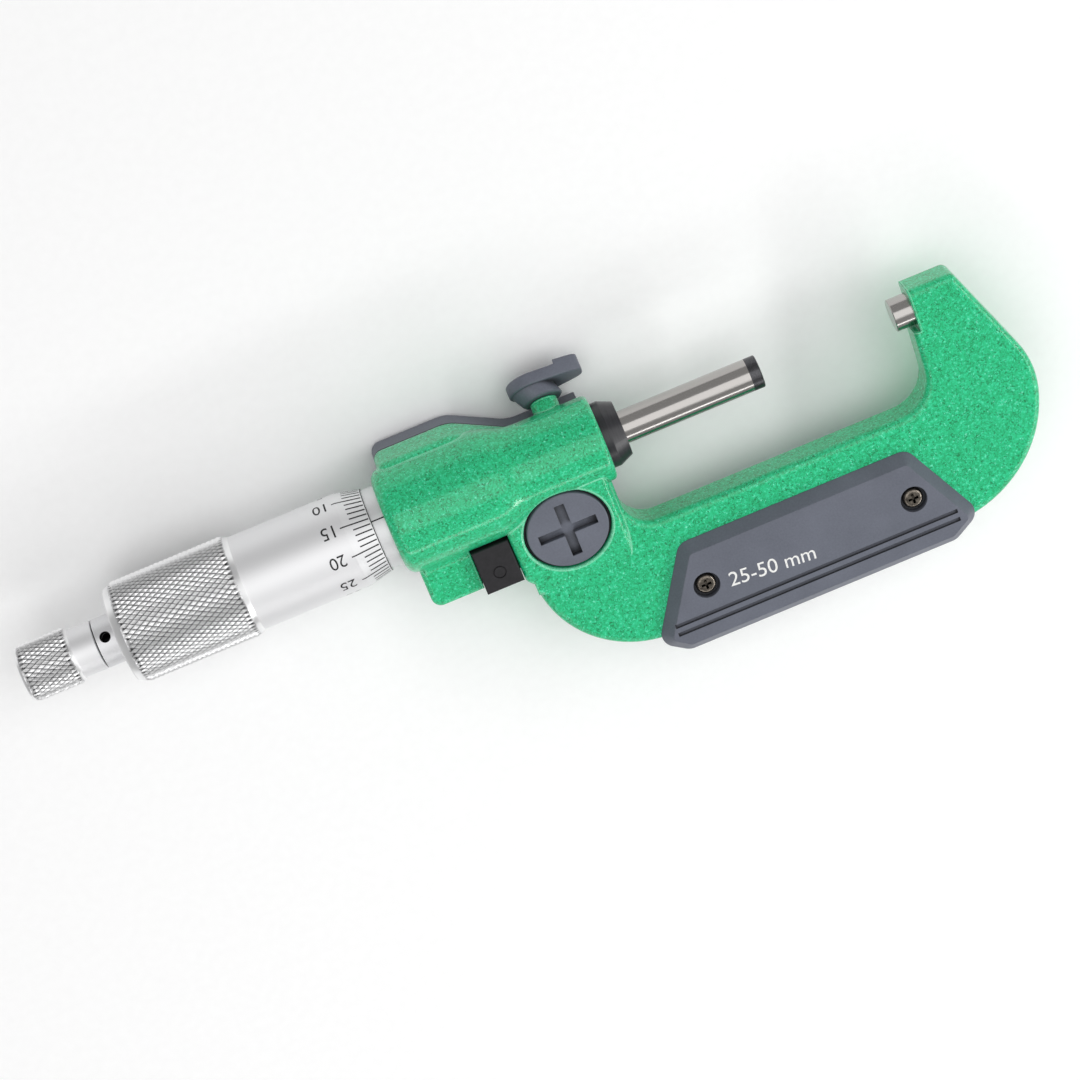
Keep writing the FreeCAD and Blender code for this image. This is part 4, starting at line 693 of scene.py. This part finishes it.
def lever_outline(inset, square_from=math.inf):
    """The head that narrows into the squared thumb piece, drawn in by the inset up to square_from."""

    def outline(angle):
        x, y = ring_of(HEAD_RADIUS - inset, HEAD_SHIFT)(angle)
        if x <= -HEAD_SHIFT:
            return x, y
        along = math.cos(angle) ** THUMB_SQUARENESS
        across = math.copysign(abs(math.sin(angle)) ** THUMB_SQUARENESS, y)
        x = (THUMB_REACH + HEAD_SHIFT) * along - HEAD_SHIFT
        drawn_in = 0 if x > square_from else inset
        half_width = HEAD_RADIUS * (1 - (1 - THUMB_NARROWING) * along) - drawn_in
        return x - drawn_in * along, across * half_width

    return outline


def under_block(face):
    """True for the faces of the thumb piece's top that the block is raised from."""
    centre = face.calc_center_median()
    return face.normal.z > 0.99 and centre.x > BLOCK_START and centre.z > HEAD_LOW


top = next(iter(shape.faces))
top = next_ring(shape, top, HUB_LOW + LEVER_ROUNDING, ring_of(HUB_RADIUS))
top = next_ring(shape, top, HEAD_LOW, ring_of(HEAD_RADIUS - 1.5 * LEVER_ROUNDING, HEAD_SHIFT))
for inset, rise in ROUND_STEPS:
    top = next_ring(shape, top, HEAD_LOW + LEVER_ROUNDING * rise, lever_outline(LEVER_ROUNDING * inset))
for inset, drop in reversed(ROUND_STEPS):
    side = lever_outline(LEVER_ROUNDING * inset, BLOCK_START)
    top = next_ring(shape, top, HEAD_TOP - LEVER_ROUNDING * drop, side)
top = next_ring(shape, top, HEAD_TOP, ring_of(SEAT_RADIUS + LEVER_ROUNDING))
top = next_ring(shape, top, HEAD_TOP - LEVER_ROUNDING, ring_of(SEAT_RADIUS))
next_ring(shape, top, HEAD_TOP - SEAT_DEPTH, ring_of(SEAT_RADIUS))
bmesh.ops.delete(shape, geom=covered[1:], context="FACES_ONLY")
bmesh.ops.recalc_face_normals(shape, faces=shape.faces)
everything = shape.verts[:] + shape.edges[:] + shape.faces[:]
bmesh.ops.bisect_plane(shape, geom=everything, plane_co=(BLOCK_START, 0, 0), plane_no=(1, 0, 0))
block_foot = [face for face in shape.faces if under_block(face)]
made = bmesh.ops.extrude_face_region(shape, geom=block_foot)["geom"]
bmesh.ops.delete(shape, geom=block_foot, context="FACES")
raised = [item for item in made if isinstance(item, bmesh.types.BMVert)]
bmesh.ops.translate(shape, vec=(0, 0, BLOCK_RISE - BLOCK_CHAMFER), verts=raised)
bmesh.ops.inset_region(
    shape,
    faces=[item for item in made if isinstance(item, bmesh.types.BMFace)],
    thickness=BLOCK_CHAMFER,
    depth=BLOCK_CHAMFER,
    use_boundary=True,
    use_even_offset=True,
)
bmesh.ops.recalc_face_normals(shape, faces=shape.faces)
thumb_direction = Vector((1, 0, 0))
stance = Matrix((thumb_direction, PIVOT_AXIS.cross(thumb_direction), PIVOT_AXIS)).transposed().to_4x4()
bmesh.ops.transform(shape, matrix=Matrix.Translation(PIVOT) @ stance, verts=shape.verts)
handle = finished_piece("lever_handle", shape, nylon, "lever")
smooth_rounds(handle, LEVER_CREASE)
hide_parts("lock_lever")


# Screws: small cross-head machine screws that hold the grips, the display cover and the lever, and a
# slotted one that holds the ratchet's cap. Their heads are pressed from wire and their threads rolled.

# Blackened steel: hot-blacked in a salt bath and oiled, so it is dark and shines, with a bronze tinge
# where the oxide has worn in spots 0.7 mm across. The cross is painted dark as shade.
OXIDE_SPOTS = 1.4 / MM
OXIDE_DEPTH = 0.02 * MM
CROSS_SHADE = 0.7 * MM
oxide, tree, shader, place = start_finish("blackened_steel", {"Metallic": 1.0, "Roughness": 0.27})
wear = add_node(tree, "TexNoise", {"Vector": place, "Scale": OXIDE_SPOTS, "Detail": 4, "Roughness": 0.65})
browns = ((0.3, "#4A4540"), (0.55, "#7B746B"), (0.75, "#A0978B"))
bronzed = add_node(tree, "ValToRGB", {"Fac": wear}, browns)
# Painted shade: the recess of the cross is darkened.
cross = add_node(tree, "AmbientOcclusion", {"Distance": CROSS_SHADE}, samples=8, only_local=True)
painted_cross_shade = add_node(tree, "ValToRGB", {"Fac": cross.outputs["AO"]}, ((0.45, "#101010"), (0.85, "#FFFFFF")))
cross_shaded = add_node(
    tree, "Mix", {SHARE: 1.0, UNDER: bronzed, OVER: painted_cross_shade}, data_type="RGBA", blend_type="MULTIPLY"
).outputs[BLEND]
pits = add_node(tree, "Bump", {"Strength": 0.2, "Distance": OXIDE_DEPTH, "Height": wear})
feed(tree, shader, {"Base Color": cross_shaded, "Normal": pits})
dress(oxide, "back_grip_screws", "front_grip_screws", "bezel_screws", "lock_screw", "ratchet_screw")


# Rubber: the battery cover's seal ring, the display cover's gasket, the sheet under the buttons, and the
# plug that is pushed into the data port. Each is moulded in one piece and held by its own squeeze.

# Nitrile rubber: filled with soot, so near black and dull, with a faint bloom in clouds of 1 mm.
BLOOM = 0.9 / MM
SKIN_DEPTH = 0.02 * MM
rubber, tree, shader, place = start_finish(
    "nitrile_rubber", {"Roughness": 0.58, "Specular IOR Level": 0.4}
)
bloom = add_node(tree, "TexNoise", {"Vector": place, "Scale": BLOOM, "Detail": 4, "Roughness": 0.7})
soot = add_node(tree, "ValToRGB", {"Fac": bloom}, ((0.35, "#161518"), (0.7, "#222024")))
skin = add_node(tree, "Bump", {"Strength": 0.2, "Distance": SKIN_DEPTH, "Height": bloom})
feed(tree, shader, {"Base Color": soot, "Normal": skin})
dress(rubber, "cover_seal", "bezel_gasket", "contact_sheet", "data_port_cover")


# Brass pieces: the nut in the sleeve that the spindle screws through, the encoder's bush, and the plug
# that the lock screw presses on the spindle. They are turned from bar and pressed or slid into place.

# Turned brass: a warm yellow metal, browner where it has tarnished in patches of 2 mm.
TARNISH = 0.5 / MM
brass, tree, shader, place = start_finish("turned_brass", {"Metallic": 1.0, "Roughness": 0.3})
tarnish = add_node(tree, "TexNoise", {"Vector": place, "Scale": TARNISH, "Detail": 4})
yellows = add_node(tree, "ValToRGB", {"Fac": tarnish}, ((0.35, "#B08D4A"), (0.7, "#D2B36B")))
feed(tree, shader, {"Base Color": yellows})
dress(brass, "spindle_nut", "rotor_bush", "lock_plug")


# Electronics: the display's circuit board and the encoder's two discs, with a button cell under the
# battery cover and its sprung contact. They lie in the housing and in the barrel, and are hidden.

# Solder mask: a glossy green lacquer that shows the weave of the glass cloth under it, with threads
# 0.4 mm wide.
GLASS_CLOTH = 0.6 / MM
board, tree, shader, place = start_finish("solder_mask", {"Roughness": 0.3})
threads = {"Color1": linear("#1F6B45"), "Color2": linear("#23734B"), "Mortar": linear("#185639")}
weave = add_node(tree, "TexBrick", {"Vector": place, "Scale": GLASS_CLOTH, "Mortar Size": 0.04, **threads})
feed(tree, shader, {"Base Color": weave})
dress(board, "circuit_board", "encoder_stator", "encoder_rotor")

# Nickel plate: rolled steel, plated before it is pressed, with a soft shine that varies every 0.8 mm.
ROLLED_SHEET = 1.2 / MM
nickel, tree, shader, place = start_finish(
    "nickel_plate", {"Base Color": linear("#C9C6BF"), "Metallic": 1.0}
)
rolled = add_node(tree, "TexNoise", {"Vector": place, "Scale": ROLLED_SHEET, "Detail": 3})
dull = add_node(tree, "MapRange", {"Value": rolled, "To Min": 0.18, "To Max": 0.36})
feed(tree, shader, {"Roughness": dull})
dress(nickel, "battery", "battery_contact")


# Display: a liquid crystal panel behind a flat acrylic window, both held by the display cover. Seven bars
# make each digit, and they show the gap between the measuring faces in millimetres, 27.157.

# Panel: glass over a grey-green reflector, smooth, with a faint cloudiness 4 mm across.
PANEL_CLOUDS = 0.26 / MM
panel_glass, tree, shader, place = start_finish("crystal_panel", {"Roughness": 0.25})
film = add_node(tree, "TexNoise", {"Vector": place, "Scale": PANEL_CLOUDS, "Detail": 2})
reflector = add_node(tree, "ValToRGB", {"Fac": film}, ((0.3, "#A9B3A2"), (0.7, "#B6BFAE")))
feed(tree, shader, {"Base Color": reflector})
dress(panel_glass, "display_panel")

# Acrylic: cast sheet with a polished face, clear, with wiping marks in patches of 1.4 mm.
WIPING = 0.7 / MM
acrylic, tree, shader, place = start_finish(
    "clear_acrylic", {"Base Color": linear("#F7FAF9"), "IOR": 1.49, "Transmission Weight": 1.0}
)
haze = add_node(tree, "TexNoise", {"Vector": place, "Scale": WIPING, "Detail": 2})
wiped = add_node(tree, "MapRange", {"Value": haze, "To Min": 0.02, "To Max": 0.06})
feed(tree, shader, {"Roughness": wiped})
dress(acrylic, "display_lens")

# Liquid crystal: the bars are switched dark by a voltage, a dull black with a fine 0.5 mm mottle.
CRYSTAL_MOTTLE = 2 / MM
crystal, tree, shader, place = start_finish("liquid_crystal", {"Roughness": 0.4})
mottle = add_node(tree, "TexNoise", {"Vector": place, "Scale": CRYSTAL_MOTTLE, "Detail": 1})
darks = add_node(tree, "ValToRGB", {"Fac": mottle}, ((0.3, "#15181A"), (0.7, "#1D2124")))
feed(tree, shader, {"Base Color": darks})

DIGITS = "27157"
BARS = {"1": "bc", "2": "abged", "5": "afgcd", "7": "abc"}
BAR_PLACES = {
    "a": (0, 0.5, True),
    "b": (0.5, 0.25, False),
    "c": (0.5, -0.25, False),
    "d": (0, -0.5, True),
    "e": (-0.5, -0.25, False),
    "f": (-0.5, 0.25, False),
    "g": (0, 0, True),
}
DIGIT_WIDTH = 3.2 * MM
DIGIT_HEIGHT = 6.4 * MM
DIGIT_STEP = 4.6 * MM
DIGIT_SLANT = 0.08
BAR_WIDTH = 0.62 * MM
LYING_BAR = 0.86 * DIGIT_WIDTH
STANDING_BAR = 0.43 * DIGIT_HEIGHT
BAR_CORNER = 0.22 * MM
POINT_RADIUS = 0.42 * MM
DIGITS_ASIDE = 1.2 * MM
PANEL_GAP = 0.03 * MM
panel_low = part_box("display_panel")[0]
window_low, window_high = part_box("display_lens")
window_middle = (window_low + window_high) / 2
shape = bmesh.new()
for index, digit in enumerate(DIGITS):
    column = (index - len(DIGITS) // 2) * DIGIT_STEP
    for bar in BARS[digit]:
        across, up, lying = BAR_PLACES[bar]
        made = bmesh.ops.create_grid(shape, x_segments=1, y_segments=1, size=0.5)["verts"]
        size = (LYING_BAR, BAR_WIDTH, 1) if lying else (BAR_WIDTH, STANDING_BAR, 1)
        bmesh.ops.scale(shape, vec=size, verts=made)
        bmesh.ops.translate(shape, vec=(across * DIGIT_WIDTH, up * DIGIT_HEIGHT, 0), verts=made)
        bmesh.ops.translate(shape, vec=(column, 0, 0), verts=made)
bmesh.ops.bevel(
    shape, geom=shape.verts[:], affect="VERTICES", offset=BAR_CORNER, segments=1, profile=0.5, material=-1
)
point = bmesh.ops.create_circle(shape, cap_ends=True, segments=16, radius=POINT_RADIUS)["verts"]
bmesh.ops.translate(shape, vec=(-0.5 * DIGIT_STEP, -0.5 * DIGIT_HEIGHT, 0), verts=point)
for vert in shape.verts:
    from_middle = DIGITS_ASIDE - vert.co.x - vert.co.y * DIGIT_SLANT
    vert.co = (window_middle.x + from_middle, window_middle.y + vert.co.y, panel_low.z - PANEL_GAP)
finished_piece("display_digits", shape, crystal, "body")


# Print on the grip: the measuring range in plain white letters, put on with a silicone pad after the grip
# is moulded. The line of letters leans 4.5 degrees.

# Pad ink: a thin, matt white, slightly grey in spots of 0.3 mm where the ink is thinnest.
RANGE_HEIGHT = 3.0 * MM
RANGE_PLACE = (-38.6 * MM, -35.9 * MM)
RANGE_LEAN = math.radians(-4.5)
INK_SPOTS = 3.5 / MM
pad_ink, tree, shader, place = start_finish("white_pad_ink", {"Roughness": 0.5})
thickness = add_node(tree, "TexNoise", {"Vector": place, "Scale": INK_SPOTS, "Detail": 2})
whites = add_node(tree, "ValToRGB", {"Fac": thickness}, ((0.25, "#D9D9D6"), (0.6, "#F4F4F2")))
feed(tree, shader, {"Base Color": whites})
grip_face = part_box("back_grip")[1].z
shape = lettering("25-50 mm", RANGE_HEIGHT)[0]
spot = Matrix.Translation((*RANGE_PLACE, grip_face + LINE_LIFT))
bmesh.ops.transform(shape, matrix=spot @ Matrix.Rotation(RANGE_LEAN, 4, "Z"), verts=shape.verts)
finished_piece("range_print", shape, pad_ink, "body")


# Floor: the micrometer lies on its display cover on a wide sheet of white paper, which keeps its soft
# shadow.

# Paper: uncoated and dull, with fibres clumped in flecks of 2 mm that only just show.
FLOOR_HALF = 2.5
PAPER_FLECKS = 0.5 / MM
paper, tree, shader, place = start_finish(
    "white_paper", {"Roughness": 0.9, "Specular IOR Level": 0.1}
)
fibres = add_node(tree, "TexNoise", {"Vector": place, "Scale": PAPER_FLECKS, "Detail": 3})
paper_whites = add_node(tree, "ValToRGB", {"Fac": fibres}, ((0.3, "#FDFDFD"), (0.7, "#FFFFFF")))
feed(tree, shader, {"Base Color": paper_whites})
shape = bmesh.new()
bmesh.ops.create_grid(shape, x_segments=1, y_segments=1, size=FLOOR_HALF)
bmesh.ops.translate(shape, vec=(0, 0, cad_box[0].z), verts=shape.verts)
made_object("paper", shape, paper)


# Lights: a pale studio and four soft lamps aimed at the middle of the micrometer. The one on top gives
# the level, and the low ones run thin bright lines along the shafts and the frame's edges.
# Each has its place, its width and height in metres, and its power in watts.
STUDIO_LEVEL = 0.41
LAMP_TARGET = Vector((-0.078, -0.015, 0))
LAMPS = {
    "top_box": ((-0.078, 0.15, 0.72), (1.1, 0.62), 2.4),
    "low_box": ((-0.10, -0.55, 0.36), (1.0, 0.08), 0.8),
    "right_box": ((0.5, -0.2, 0.4), (1.0, 0.07), 2.3),
    "left_strip": ((-0.42, -0.26, 0.5), (0.5, 0.02), 0.28),
}
world = bpy.data.worlds.new("studio")
bpy.context.scene.world = world
world.use_nodes = True
sky = world.node_tree.nodes["Background"]
feed(world.node_tree, sky, {"Color": (1, 1, 1, 1), "Strength": STUDIO_LEVEL})
for name, (lamp_place, (width, height), power) in LAMPS.items():
    lamp = bpy.data.lights.new(name, "AREA")
    lamp.shape = "RECTANGLE"
    lamp.size, lamp.size_y, lamp.energy = width, height, power
    stand = bpy.data.objects.new(name, lamp)
    bpy.context.scene.collection.objects.link(stand)
    stand.location = lamp_place
    stand.rotation_euler = (LAMP_TARGET - Vector(lamp_place)).to_track_quat("-Z", "Y").to_euler()


# Camera: a long lens above the micrometer, leaning towards the lever's side, and rolled so that the
# barrel runs down to the left.
CAMERA_TILT = math.radians(23.4)
CAMERA_ROLL = math.radians(22.5)
CAMERA_DISTANCE = 0.65
CAMERA_LENS = 112.7
CAMERA_TARGET = Vector((-78.1, -15.04, 0)) * MM
x_axis = Vector((1, 0, 0))
back = Vector((0, math.sin(CAMERA_TILT), math.cos(CAMERA_TILT)))
unrolled_up = Vector((0, math.cos(CAMERA_TILT), -math.sin(CAMERA_TILT)))
right = x_axis * math.cos(CAMERA_ROLL) - unrolled_up * math.sin(CAMERA_ROLL)
up = unrolled_up * math.cos(CAMERA_ROLL) + x_axis * math.sin(CAMERA_ROLL)
camera = bpy.data.cameras.new("camera")
camera.sensor_width = 36
camera.lens = CAMERA_LENS
camera.clip_start = 0.01
camera_stand = bpy.data.objects.new("camera", camera)
bpy.context.scene.collection.objects.link(camera_stand)
camera_turn = Matrix((right, up, back)).transposed().to_4x4()
camera_stand.matrix_world = Matrix.Translation(CAMERA_TARGET + back * CAMERA_DISTANCE) @ camera_turn
bpy.context.scene.camera = camera_stand
bpy.context.scene.view_settings.view_transform = "Standard"
